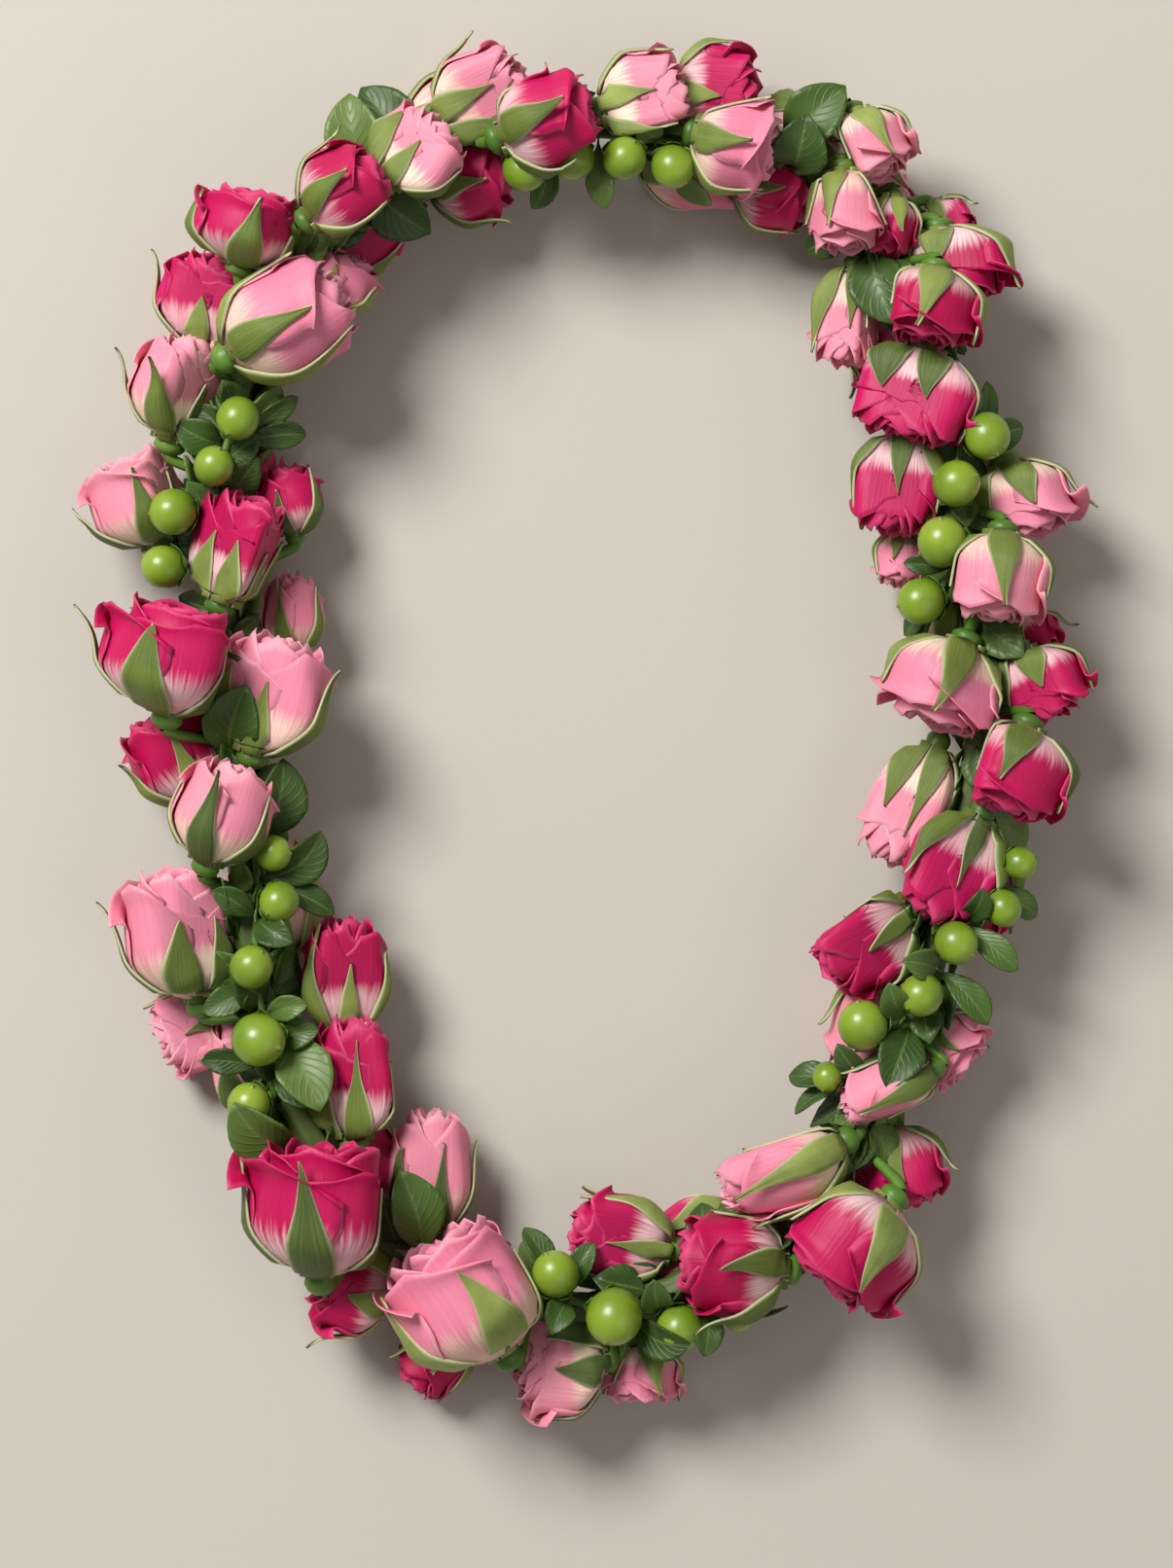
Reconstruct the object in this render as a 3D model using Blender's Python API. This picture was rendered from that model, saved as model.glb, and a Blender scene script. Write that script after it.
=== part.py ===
"""Rosebud lei: rosebuds and sprigs of hypericum strung on one closed loop of cord, laid flat.

Lengths are in millimetres until a mesh is made. X is to the right and Y is away from the wearer's chest
towards the neck, both measured from the middle of the loop. Z is up, from the surface that the lei lies on.
"""

import itertools
import math
import random

import bmesh
import bpy
import numpy as np
from mathutils import Matrix
from mathutils.bvhtree import BVHTree

MM = 0.001
SEED = 7
GAP = 0.35
UP = np.array([0.0, 0.0, 1.0])

# The cord, and the sleeve of pressed stems round it
CORD_HEIGHT = 27.0
CORD_RADIUS = 1.2
CORD_SIDES = 5
SLEEVE_RADIUS = 5.0
SLEEVE_SIDES = 6
SLEEVE_BORE = 1.75
SLEEVE_LENGTHS = 8
CHORDS_IN_LENGTH = 5
STATIONS = SLEEVE_LENGTHS * CHORDS_IN_LENGTH

# The buds
PETALS = 5
SWELL = 1.15
TIP_RISE = 1.5
ROLL = 0.35
CENTRE_SHARE = 0.45
SMALL_WIDTH = 18
DEEP_LEVEL = 24

# The outline of a bud: shares of its length, and of its radius
COLLAR = (0.05, 0.6)
WIDEST = 0.4
CLOSED_LIP = 0.6
OPEN_LIP = 1.05

# Stems, hips and sepals
STEM_BEHIND_BASE = 12.0
STEM_RADIUS = 1.7
STEM_REACH = 2.3
STEM_ROOT = 3.3
STEM_ROOM = 6.5
HIP_BACK = 0.14
HIP_SHARE = 0.30
HIP_LEAST = 2.4
HIP_MOST = 4.6
HIP_CORE = 1.5
SEPAL_THICK = 0.75
SEPAL_GAP = 0.5
SEPAL_FOOT = 0.3
SEPAL_LEAST = 0.5
SEPAL_TIP = 0.7
SEPAL_HALF = 14
KEEL = 0.6
LEAST_KEELED = 12.0
RELIEF = 0.9
LEAST_RELIEF = 0.05

# A petal's middle stands higher than the notch beside it, and the notch lies further in
LOBE = (0.03, 1.0)
NOTCH = (-0.09, 0.86)

# How the buds settle beside each other, the berries and the sleeve
SETTLED = 0.55
SETTLING = 60
LAST_SETTLING = 12
HOMING = np.array([0.12, 0.12, 0.02])
FAR_APART = 55
PARTING = 0.25
PARTING_WAY = (0.5, 0.5, 1.0)
UPWARD = (0.0, 0.0, 0.01)
SHOULDER = 0.85
BERRY_CLOSE = 0.45
BERRY_WAY = (0.6, 0.6, 1.0)
BERRY_PARTING = 0.5
SLEEVE_CLOSE = 0.4
HIP_ROOM = 0.1

# The buds of the underside
UNDERSIDE_BUDS = 18
UNDERSIDE_LENGTH = 33.0
UNDERSIDE_WIDTH = 25
UNDERSIDE_OPENING = 0.2
UNDERSIDE_DROP = 13.0
UNDERSIDE_LEAN = math.radians(30.0)
SAME_COLOUR_WAY = (1, 1, 0.4)

# The planes between a bud and its neighbours
WALL_REACH = 1.4
WALL_ROOM = 4
WALL_SHARES = (0.28, 0.72)
LEAST_LEVEL = 2.0
LEAST_REACH = 0.9

# How a bud wraps the sleeve, a twig or a berry
BALL_STEP = 4.0
FACET_ROOM = 0.8
EASE = 4.0
STEEPNESS = 2.0

# The hypericum
TWIG_RADIUS = 1.1
TWIG_SIDES = 3
TWIG_STEP = 0.5
BERRY_STALK = 0.9
BERRY_STALK_REACH = 0.98
BERRY_LIFT = 0.8
BERRY_SIDES = 7
BERRY_ROWS = (50, 90, 135)
TWIG_OFFSET = SLEEVE_RADIUS + GAP + 0.15 + TWIG_RADIUS
LEAF_THICK = 0.9
LEAF_RIB = 0.65
LEAF_HALF = 0.36
LEAF_SHOULDERS = ((-0.25, 0.75), (0.18, 1.0))
LEAF_TIP = 0.5
LEAF_WAY = (0.45, 0.45, 1.0)
LEAF_REACH = 17.0
LEAF_BACK = 0.45
LEAST_SWEEP = 0.8
LEAF_SINK = 0.4
LEAF_CLEAR = 0.4
LEAF_SIZES = (1.0, 0.8, 0.62)
LEAF_LIFTS = (0.0, 2.0, 4.0, -3.0, 6.0, -6.0, 9.0, 12.0)
LEAF_TURNS = (0, 35, -35, 75, -75, 120, -120, 180)

# Leaves that stand on the sleeve where nothing covers it or the room beside it
FILLER_SHARES = (0.25, 0.75)
FILLER_SIDES = (0.0, 8.0, -8.0, 14.0, -14.0)
FILLER_LIFTS = (13.0, 10.0, 16.0, 7.0, 19.0, 4.0)
FILLER_LENGTHS = (24.0, 20.0, 16.0, 13.0)
FILLER_TURNS = (0, 30, -30, 65, -65, 100, -100, 180)
FILLER_SPREAD = 0.4
MOST_FILLERS = 25

# Three buds of the underside are pressed flat where the lei rests, and the others stay a little higher
REST_LIFT = 0.6
REST_DEPTH = 1.8
REST_ANGLES = (90, 210, 330)
REST_MIDDLE = (0.0, 15.0)
TOP = 63.0

# Middle line of the loop, from the nape round the wearer's right side
LOOP = (
    (-1, 194), (-35, 190), (-62, 178), (-86, 157), (-99, 130), (-105, 101), (-108, 73), (-106, 44),
    (-103, 16), (-101, -13), (-99, -41), (-93, -70), (-85, -95), (-68, -124), (-44, -144), (-15, -153),
    (13, -152), (40, -141), (66, -122), (83, -95), (96, -67), (105, -38), (112, -10), (116, 19),
    (115, 47), (110, 76), (104, 104), (97, 133), (86, 158), (70, 178), (38, 190),
)

# Colour, base, tip, width, how far open (0 to 1) and height of the middle of each bud
HOT = "hot_petals"
LIGHT = "light_petals"
BUDS = (
    (LIGHT, (-70, 180), (-64, 190), 10, 0.3, 26),
    (HOT, (-79, 163), (-59, 177), 23, 0.3, 36),
    (HOT, (-100, 151), (-95, 172), 30, 0.6, 41),
    (HOT, (-112, 129), (-107, 155), 27, 0.4, 28),
    (LIGHT, (-103, 125), (-72, 144), 30, 0.3, 40),
    (LIGHT, (-76, 141), (-69, 155), 19, 0.4, 24),
    (LIGHT, (-121, 101), (-113, 129), 27, 0.3, 28),
    (LIGHT, (-125, 71), (-135, 96), 27, 0.6, 26),
    (HOT, (-86, 74), (-89, 93), 17, 0.3, 20),
    (HOT, (-109, 54), (-98, 83), 30, 0.6, 38),
    (HOT, (-119, 24), (-113, 55), 38, 0.8, 38),
    (LIGHT, (-86, 39), (-87, 61), 15, 0.1, 20),
    (LIGHT, (-97, 10), (-89, 42), 30, 0.25, 38),
    (HOT, (-114, -4), (-127, 20), 23, 0.5, 26),
    (LIGHT, (-110, -22), (-101, 5), 24, 0.3, 38),
    (LIGHT, (-113, -62), (-118, -25), 33, 0.7, 32),
    (LIGHT, (-105, -68), (-126, -77), 21, 0.5, 18),
    (HOT, (-71, -72), (-71, -40), 21, 0.2, 30),
    (HOT, (-74, -106), (-74, -73), 26, 0.15, 34),
    (HOT, (-76, -141), (-74, -102), 38, 1.0, 38),
    (LIGHT, (-47, -133), (-47, -97), 21, 0.35, 28),
    (HOT, (-56, -148), (-79, -142), 27, 0.6, 22),
    (LIGHT, (-24, -164), (-45, -132), 40, 0.7, 40),
    (HOT, (-38, -162), (-51, -178), 16, 0.4, 14),
    (LIGHT, (5, -168), (-21, -169), 28, 0.7, 27),
    (LIGHT, (16, -165), (15, -182), 20, 0.8, 18),
    (HOT, (24, -136), (-4, -130), 21, 0.4, 28),
    (HOT, (58, -141), (28, -139), 27, 0.45, 36),
    (HOT, (87, -121), (67, -144), 33, 0.6, 36),
    (LIGHT, (73, -104), (40, -117), 24, 0.15, 40),
    (HOT, (87, -101), (93, -124), 24, 0.5, 28),
    (LIGHT, (100, -84), (76, -97), 18, 0.3, 36),
    (LIGHT, (100, -72), (113, -83), 19, 0.8, 20),
    (HOT, (95, -37), (70, -53), 26, 0.4, 34),
    (HOT, (114, -10), (99, -38), 24, 0.15, 38),
    (LIGHT, (102, 10), (88, -22), 21, 0.3, 28),
    (HOT, (127, 16), (119, -8), 31, 0.5, 38),
    (LIGHT, (111, 41), (102, 17), 33, 0.6, 38),
    (HOT, (126, 38), (135, 18), 27, 0.6, 30),
    (HOT, (125, 47), (131, 36), 21, 0.5, 22),
    (LIGHT, (120, 72), (117, 47), 26, 0.55, 36),
    (LIGHT, (123, 93), (130, 72), 26, 0.9, 28),
    (LIGHT, (93, 74), (92, 59), 12, 0.4, 18),
    (HOT, (93, 102), (89, 74), 22, 0.35, 34),
    (HOT, (99, 127), (91, 101), 32, 0.5, 38),
    (LIGHT, (78, 150), (76, 123), 18, 0.5, 32),
    (HOT, (101, 148), (97, 127), 27, 0.7, 38),
    (HOT, (103, 161), (106, 139), 34, 0.9, 30),
    (HOT, (102, 170), (110, 160), 13, 0.4, 24),
    (LIGHT, (78, 195), (86, 176), 21, 0.6, 33),
    (LIGHT, (75, 178), (76, 155), 23, 0.7, 34),
    (HOT, (89, 171), (86, 154), 14, 0.4, 34),
    (LIGHT, (-58, 176), (-42, 192), 23, 0.4, 36),
    (HOT, (-46, 176), (-24, 182), 24, 0.4, 22),
    (LIGHT, (-42, 189), (-17, 201), 24, 0.4, 34),
    (HOT, (-24, 186), (2, 195), 27, 0.5, 40),
    (LIGHT, (5, 196), (29, 201), 24, 0.4, 34),
    (HOT, (25, 198), (49, 196), 26, 0.5, 34),
    (LIGHT, (32, 189), (55, 184), 26, 0.5, 40),
    (HOT, (49, 193), (69, 185), 23, 0.4, 24),
    (HOT, (45, 178), (66, 173), 21, 0.4, 22),
)

# Each sprig of hypericum: its berries as place, height and diameter, then its leaves as place, height,
# length and heading in degrees
SPRIGS = (
    (
        ((-101, 106, 42, 13), (-108, 92, 43, 12), (-120, 79, 40, 14), (-123, 63, 38, 13)),
        ((-109, 107, 38, 12, 150), (-92, 110, 40, 14, 60), (-83, 113, 36, 10, 20), (-84, 103, 34, 12, -10)),
    ),
    (
        (
            (-91, -20, 40, 11), (-89, -34, 42, 12), (-97, -53, 43, 13), (-95, -74, 44, 16),
            (-98, -93, 40, 13),
        ),
        (
            (-77, -23, 40, 19, 30), (-76, -35, 36, 13, -20), (-91, -43, 46, 14, 10), (-103, -33, 42, 12, 160),
            (-106, -64, 40, 13, 200), (-86, -64, 44, 11, 0), (-107, -80, 38, 12, 190),
            (-84, -90, 41, 13, -25), (-104, -102, 36, 13, 225), (-95, -119, 31, 14, 270),
        ),
    ),
    (
        ((-9, -142, 42, 14), (8, -154, 43, 17), (27, -158, 40, 14), (44, -155, 36, 9)),
        (
            (-8, -153, 46, 13, 250), (-1, -137, 44, 11, 90), (20, -150, 46, 14, 60), (36, -160, 38, 13, 290),
            (54, -157, 34, 15, 330), (-15, -133, 40, 12, 110),
        ),
    ),
    (
        (
            (126, -23, 38, 10), (121, -36, 40, 11), (107, -46, 43, 13), (97, -61, 43, 13),
            (80, -70, 42, 15), (70, -85, 38, 9),
        ),
        (
            (89, -64, 46, 14, 140), (114, -64, 40, 14, 300), (98, -52, 47, 14, 170), (114, -36, 46, 12, 120),
            (130, -37, 36, 12, 340), (121, -50, 42, 13, 320), (61, -85, 38, 13, 160), (64, -92, 34, 11, 220),
            (75, -80, 42, 11, 120),
        ),
    ),
    (
        ((116, 101, 42, 14), (107, 87, 43, 14), (103, 70, 43, 15), (97, 53, 41, 14)),
        (
            (92, 42, 36, 13, 200), (90, 34, 32, 11, 230), (96, 64, 44, 11, 180), (113, 90, 46, 12, 0),
            (113, 119, 40, 13, 80), (119, 113, 38, 12, 30), (128, 107, 34, 13, 10),
        ),
    ),
    (
        ((-18, 178, 41, 13), (-4, 181, 43, 13), (11, 181, 43, 13), (25, 179, 41, 13)),
        ((-12, 171, 36, 12, 240), (4, 172, 38, 12, 280), (18, 189, 42, 12, 60), (32, 172, 36, 12, 300)),
    ),
)


def unit(vector):
    """The vector at length one."""
    return vector / np.linalg.norm(vector)


def lerp(start, end, share):
    """The value a share of the way from start to end."""
    return start + (end - start) * share


def loop_stations():
    """Points evenly spaced along a smooth closed curve through the loop's own points."""
    points = np.array([(x, y, CORD_HEIGHT) for x, y in LOOP], float)
    dense = []
    for index in range(len(points)):
        before, here, after, last = (points[(index + step) % len(points)] for step in (-1, 0, 1, 2))
        for t in np.arange(0.0, 1.0, 0.05):
            curve = 2 * here + (after - before) * t
            curve += (2 * before - 5 * here + 4 * after - last) * t**2
            curve += (3 * here - before - 3 * after + last) * t**3
            dense.append(curve / 2)
    dense = np.array(dense + dense[:1])
    travelled = np.concatenate(([0.0], np.cumsum(np.linalg.norm(np.diff(dense, axis=0), axis=1))))
    wanted = np.arange(STATIONS) * travelled[-1] / STATIONS
    return np.column_stack([np.interp(wanted, travelled, dense[:, axis]) for axis in range(3)])


def closest_on_segments(a0, a1, b0, b1):
    """The nearest points of two segments."""
    u, v, w = a1 - a0, b1 - b0, a0 - b0
    uu, uv, vv = u @ u, u @ v, v @ v
    uw, vw = u @ w, v @ w
    det = uu * vv - uv * uv
    s = 0.5 if det < 1e-9 else min(1.0, max(0.0, (uv * vw - vv * uw) / det))
    t = 0.0 if vv < 1e-9 else min(1.0, max(0.0, (uv * s + vw) / vv))
    s = min(1.0, max(0.0, (uv * t - uw) / uu))
    return a0 + s * u, b0 + t * v, s


def nearest_on_loop(point, stations):
    """The loop's nearest point, its chord's index and the chord's direction."""
    best = None
    for index in range(STATIONS):
        start, end = stations[index], stations[(index + 1) % STATIONS]
        along = end - start
        share = min(1.0, max(0.0, (point - start) @ along / (along @ along)))
        foot = start + share * along
        distance = np.linalg.norm(point - foot)
        if best is None or distance < best[0]:
            best = (distance, foot, index, unit(along))
    return best[1], best[2], best[3]


class Bud:
    """One rosebud: its axis, its roll, and the planes that its neighbours press on it with."""

    def __init__(self, index, colour, base, tip, width, opening, level):
        self.index = index
        self.colour = colour
        self.radius = width / 2 * SWELL
        self.opening = opening
        self.base = np.array([base[0], base[1], level - TIP_RISE])
        self.tip = np.array([tip[0], tip[1], level + TIP_RISE])
        self.whole = width < SMALL_WIDTH or level <= DEEP_LEVEL
        self.roll = random.uniform(-ROLL, ROLL)
        self.rests = False
        self.walls, self.balls = [], []
        self.flat_against = set()
        self.keeled = self.radius >= LEAST_KEELED

    @property
    def axis(self):
        return unit(self.tip - self.base)

    @property
    def length(self):
        return np.linalg.norm(self.tip - self.base)

    @property
    def centre(self):
        return lerp(self.base, self.tip, CENTRE_SHARE)

    @property
    def hip(self):
        return self.base - self.axis * self.length * HIP_BACK

    @property
    def hip_radius(self):
        return min(HIP_MOST, max(HIP_LEAST, self.radius * HIP_SHARE))

    def move(self, offset):
        self.base = self.base + offset
        self.tip = self.tip + offset

    def reach(self, share):
        """Rough radius a share of the way from the hip to the tip."""
        return self.body(share * (1 + HIP_BACK) - HIP_BACK)

    def body(self, t):
        """Rough radius a share of the way from the base to the tip."""
        collar, narrow = COLLAR
        if t < collar:
            return lerp(self.hip_radius, self.radius * narrow, (t + HIP_BACK) / (collar + HIP_BACK))
        if t < WIDEST:
            return lerp(self.radius * narrow, self.radius, (t - collar) / (WIDEST - collar))
        lip = self.radius * lerp(CLOSED_LIP, OPEN_LIP, self.opening)
        return lerp(self.radius, lip, (t - WIDEST) / (1 - WIDEST))

    def frame(self):
        """Two directions across the axis: the first is the one nearest to up, turned by the roll."""
        across = unit(np.cross(self.axis, UP))
        top = np.cross(across, self.axis)
        u = top * math.cos(self.roll) + across * math.sin(self.roll)
        return u, np.cross(self.axis, u)

    def point(self, share, radius, degrees):
        """A point a share of the way from base to tip, at a radius and an angle round the axis."""
        u, v = self.frame()
        angle = math.radians(degrees)
        out = u * math.cos(angle) + v * math.sin(angle)
        return self.base + self.axis * self.length * share + out * radius


def make_buds():
    """All the buds: those that show, and closed ones along the underside in the colours above them."""
    buds = [Bud(index, *row) for index, row in enumerate(BUDS)]
    stations = loop_stations()
    for index in range(UNDERSIDE_BUDS):
        place = (index + 0.5) * STATIONS / UNDERSIDE_BUDS
        start, end = stations[int(place)], stations[(int(place) + 1) % STATIONS]
        forward = -unit(end - start)
        side = np.cross(forward, UP)
        lean = UNDERSIDE_LEAN if index % 2 else -UNDERSIDE_LEAN
        offset = UNDERSIDE_DROP * (side * math.sin(lean) - UP * math.cos(lean))
        middle = (start + end) / 2 + offset
        base = middle - forward * UNDERSIDE_LENGTH / 2
        tip = middle + forward * UNDERSIDE_LENGTH / 2
        above = min(
            buds[: len(BUDS)], key=lambda bud: np.linalg.norm((bud.centre - middle) * SAME_COLOUR_WAY)
        )
        bud = Bud(
            len(buds), above.colour, base[:2], tip[:2], UNDERSIDE_WIDTH, UNDERSIDE_OPENING, middle[2]
        )
        bud.whole = True
        buds.append(bud)
    return buds


def settle(buds, stations, berries):
    """Nudge the buds, mostly up or down, until none sits too deep in another, a berry or the sleeve."""
    homes = [bud.base for bud in buds]
    for turn in range(SETTLING + LAST_SETTLING):
        if turn < SETTLING:
            for bud, home in zip(buds, homes):
                bud.move((home - bud.base) * HOMING)
        part_neighbours(buds)
        for bud in buds:
            too_high = bud.centre[2] + SHOULDER * bud.radius - TOP
            if too_high > 0:
                bud.move((0.0, 0.0, -too_high))
            for middle, radius in berries:
                near, _, share = closest_on_segments(bud.base, bud.tip, middle, middle + 0.001)
                away = near - middle
                short = radius + BERRY_CLOSE * bud.body(share) - np.linalg.norm(away)
                if short > 0:
                    bud.move(unit(away * BERRY_WAY) * short * BERRY_PARTING)
            out_of_sleeve = SLEEVE_RADIUS + GAP + bud.hip_radius + HIP_ROOM
            for place, need in (
                ("base", out_of_sleeve),
                ("centre", SLEEVE_RADIUS + SLEEVE_CLOSE * bud.radius),
                ("hip", out_of_sleeve),
            ):
                point = getattr(bud, place)
                away = point - nearest_on_loop(point, stations)[0]
                short = need - np.linalg.norm(away)
                if short > 0:
                    bud.move(unit(away) * short)


def part_neighbours(buds):
    """Push apart the buds whose bodies sit too deep in each other."""
    for first in buds:
        for second in buds[first.index + 1 :]:
            if np.linalg.norm(first.centre - second.centre) > FAR_APART:
                continue
            a, b, s = closest_on_segments(first.hip, first.tip, second.hip, second.tip)
            _, _, t = closest_on_segments(second.hip, second.tip, first.hip, first.tip)
            short = SETTLED * (first.reach(s) + second.reach(t)) - np.linalg.norm(b - a)
            if short > 0:
                away = unit((b - a) * PARTING_WAY + UPWARD) * short * PARTING
                first.move(-away)
                second.move(away)


def rest_on_three(buds):
    """Lower three buds of the underside, a third of the way round from each other, to carry the lei."""
    for degrees in REST_ANGLES:
        heading = np.array([math.cos(math.radians(degrees)), math.sin(math.radians(degrees))])

        def turned_away(bud):
            return -unit(bud.centre[:2] - REST_MIDDLE) @ heading

        bud = min(buds[len(BUDS) :], key=turned_away)
        bud.rests = True
        bud.move((0.0, 0.0, bud.radius - REST_DEPTH - bud.centre[2]))


# Clearances from a neighbour's face for petals, for the inside and for the outside of the green
FREE, UNDER_SEPAL, INNER, OUTER = range(4)
CLEAR = {
    "hard": (0.4, 2.0, 1.15, 0.4),
    "pair": (0.2, 1.8, 0.95, 0.2),
    "ground": (0.0, 1.3, 0.75, 0.0),
}


def raise_walls(buds, hard_parts):
    """Give each bud the planes that keep it clear of its neighbours, the sleeve, stems and berries."""
    for bud in buds:
        bud.walls = [] if bud.rests else [(-UP, -REST_LIFT, "ground")]
    for first in buds:
        for second in buds[first.index + 1 :]:
            a, b, s = closest_on_segments(first.hip, first.tip, second.hip, second.tip)
            _, _, t = closest_on_segments(second.hip, second.tip, first.hip, first.tip)
            distance = np.linalg.norm(b - a)
            if distance > WALL_REACH * (first.radius + second.radius) + WALL_ROOM:
                continue
            normal = (b - a) / distance
            share = first.reach(s) / (first.reach(s) + second.reach(t))
            level = normal @ lerp(a, b, min(WALL_SHARES[1], max(WALL_SHARES[0], share)))
            first.walls.append((normal, level, "pair"))
            second.walls.append((-normal, -level, "pair"))
    for bud in buds:
        bud.balls = []
        for owner, start, end, radius in hard_parts:
            if owner == bud.index:
                continue
            a, b, _ = closest_on_segments(bud.base, bud.tip, start, end)
            distance = np.linalg.norm(b - a)
            if distance > WALL_REACH * bud.radius + radius + WALL_ROOM:
                continue
            if isinstance(owner, str) and owner not in bud.flat_against:
                count = 1 + round(np.linalg.norm(end - start) / BALL_STEP)
                for share in np.linspace(0, 1, count, endpoint=count == 1):
                    bud.balls.append((lerp(start, end, share), radius))
                continue
            normal = (b - a) / distance
            bud.walls.append((normal, normal @ a + max(distance - radius, LEAST_LEVEL), "hard"))


def pressed(bud, origin, point, role):
    """The way from the origin to the point, and how far along it the bud's walls leave free."""
    ray = point - origin
    reach = np.linalg.norm(ray)
    ray = ray / reach
    for normal, level, kind in bud.walls:
        slope = normal @ ray
        if slope > 1e-6:
            reach = min(reach, (level - CLEAR[kind][role] - normal @ origin) / slope)
    for middle, radius in bud.balls:
        away = middle - origin
        along = away @ ray
        miss = math.sqrt(max(away @ away - along * along, 0.0))
        full = radius + CLEAR["hard"][role] + FACET_ROOM
        if along > 0 and miss < full:
            reach = min(reach, along - math.sqrt(full * full - miss * miss))
        elif along > 0 and miss < full + EASE:
            reach = min(reach, along + (miss - full) * STEEPNESS)
    return ray, max(reach, LEAST_REACH)


def petal_rings(bud):
    """The rings of a bud: share of the length, radius, first angle, step between points and their number."""
    o = bud.opening
    r = bud.radius
    rings = [(0.05, 0.48 * r, 36, 72, PETALS), (0.30, lerp(0.95, 0.86, o) * r, 0, 72, PETALS)]
    if bud.whole:
        return rings + [(0.72, lerp(0.85, 1.0, o) * r, 0, 36, 2 * PETALS), (1.0, 0.0, 0, 0, 1)]
    lip = lerp(0.5, 1.08, o) * r
    return rings + [
        (0.62, r, 0, 36, 2 * PETALS),
        (0.97, lip, 0, 36, 2 * PETALS),
        (0.97 - lerp(0.10, 0.16, o), lip * lerp(0.62, 0.48, o), 36, 72, PETALS),
        (0.98, lip * 0.36, 0, 72, PETALS),
        (lerp(0.92, 0.85, o), 0.0, 0, 0, 1),
    ]


def ring_points(bud, ring, lobed, paired):
    """A ring's points: the lip has each petal's middle higher and wider, another has sepal edges."""
    share, radius, first, step, count = ring
    points = []
    if paired:
        for index in range(count):
            for side in (-SEPAL_HALF, SEPAL_HALF):
                points.append(bud.point(share, radius, first + step * index + side))
        return points
    for index in range(count):
        tall, wide = 0.0, 1.0
        if lobed:
            tall, wide = LOBE if index % 2 else NOTCH
        points.append(bud.point(share + tall, radius * wide, first + step * index))
    return points


def strip(low, high, steps):
    """Triangles between two closed rings, from steps of 'l' (along the low ring) and 'h'."""
    faces, i, j = [], 0, 0
    for step in steps:
        if step == "l":
            faces.append((low[i % len(low)], low[(i + 1) % len(low)], high[j % len(high)]))
            i += 1
        else:
            faces.append((low[i % len(low)], high[(j + 1) % len(high)], high[j % len(high)]))
            j += 1
    return faces


def bud_rings(bud):
    """The points of a bud's rings, before its neighbours press on it."""
    rings = []
    for number, ring in enumerate(petal_rings(bud)):
        lobed = number == 3 and not bud.whole
        rings.append(ring_points(bud, ring, lobed, paired=number == 1))
    return rings


def build_bud(bud):
    """The petals and the green of one bud, as two shapes."""
    points, numbers = [], []
    for number, ring in enumerate(bud_rings(bud)):
        numbers.append(list(range(len(points), len(points) + len(ring))))
        for place, point in enumerate(ring):
            covered = number <= 1 or (number == 2 and place % 2 == 0)
            ray, reach = pressed(bud, bud.centre, point, UNDER_SEPAL if covered else FREE)
            points.append(bud.centre + ray * reach)
    faces = [(numbers[0][0], numbers[0][k + 1], numbers[0][k]) for k in (1, 2, 3)]
    faces += petal_faces(numbers)
    return (points, faces), build_green(bud, points, numbers)


def build_whole_bud(bud):
    """A small or deep bud in one shape: the sepals stand out of the closed petals as relief."""
    points, numbers = [], []
    for ring in bud_rings(bud):
        numbers.append(list(range(len(points), len(points) + len(ring))))
        for point in ring:
            ray, reach = pressed(bud, bud.centre, point, FREE)
            points.append(bud.centre + ray * reach)
    low, wide, high, (top,) = numbers
    pink = [(high[m], high[(m + 1) % 10], top) for m in range(10)]
    green = []
    for k in range(PETALS):
        left, right, next_left = wide[2 * k], wide[2 * k + 1], wide[(2 * k + 2) % 10]
        tip, side, next_tip = high[2 * k], high[2 * k + 1], high[(2 * k + 2) % 10]
        proud = []
        for number in (left, right):
            outward = unit(points[number] - bud.centre)
            ray, reach = pressed(bud, bud.centre, points[number] + outward * RELIEF, OUTER)
            least = np.linalg.norm(points[number] - bud.centre) + LEAST_RELIEF
            proud.append(len(points))
            points.append(bud.centre + ray * max(reach, least))
        green += [(low[k - 1], low[k], proud[1]), (low[k - 1], proud[1], proud[0]), (proud[0], proud[1], tip)]
        green += [(low[k], right, proud[1]), (right, tip, proud[1])]
        green += [(low[k - 1], proud[0], left), (left, proud[0], tip)]
        pink += [(low[k], next_left, right), (right, side, tip), (right, next_left, side)]
        pink.append((next_left, next_tip, side))
    add_stem(bud, points, green, low)
    return points, green + pink, [0] * len(green) + [1 if bud.colour == HOT else 2] * len(pink)


def build_buds(buds, hard_parts, hard_trees):
    """Every bud's petals and green, flat against what it would touch if it wrapped round it."""
    petals, greens = {}, {}
    waiting = buds
    while waiting:
        raise_walls(buds, hard_parts)
        for bud in waiting:
            if bud.whole:
                greens[bud.index] = build_whole_bud(bud)
            else:
                petals[bud.index], greens[bud.index] = build_bud(bud)
                if tree_of(petals[bud.index]).overlap(tree_of(greens[bud.index])):
                    bud.keeled = False
                    petals[bud.index], greens[bud.index] = build_bud(bud)
        touching = []
        for bud in waiting:
            shapes = [shapes[bud.index] for shapes in (petals, greens) if bud.index in shapes]
            trees = [tree_of(shape) for shape in shapes]
            for name, others in hard_trees.items():
                own = trees[:-1] if name == "sleeve" else trees
                own = own + ([tree_of(body_of(greens[bud.index], bud))] if name == "sleeve" else [])
                if name not in bud.flat_against and any(a.overlap(b) for a in own for b in others):
                    bud.flat_against.add(name)
                    touching.append(bud)
        waiting = [bud for bud in buds if bud in touching]
    return petals, greens


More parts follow.
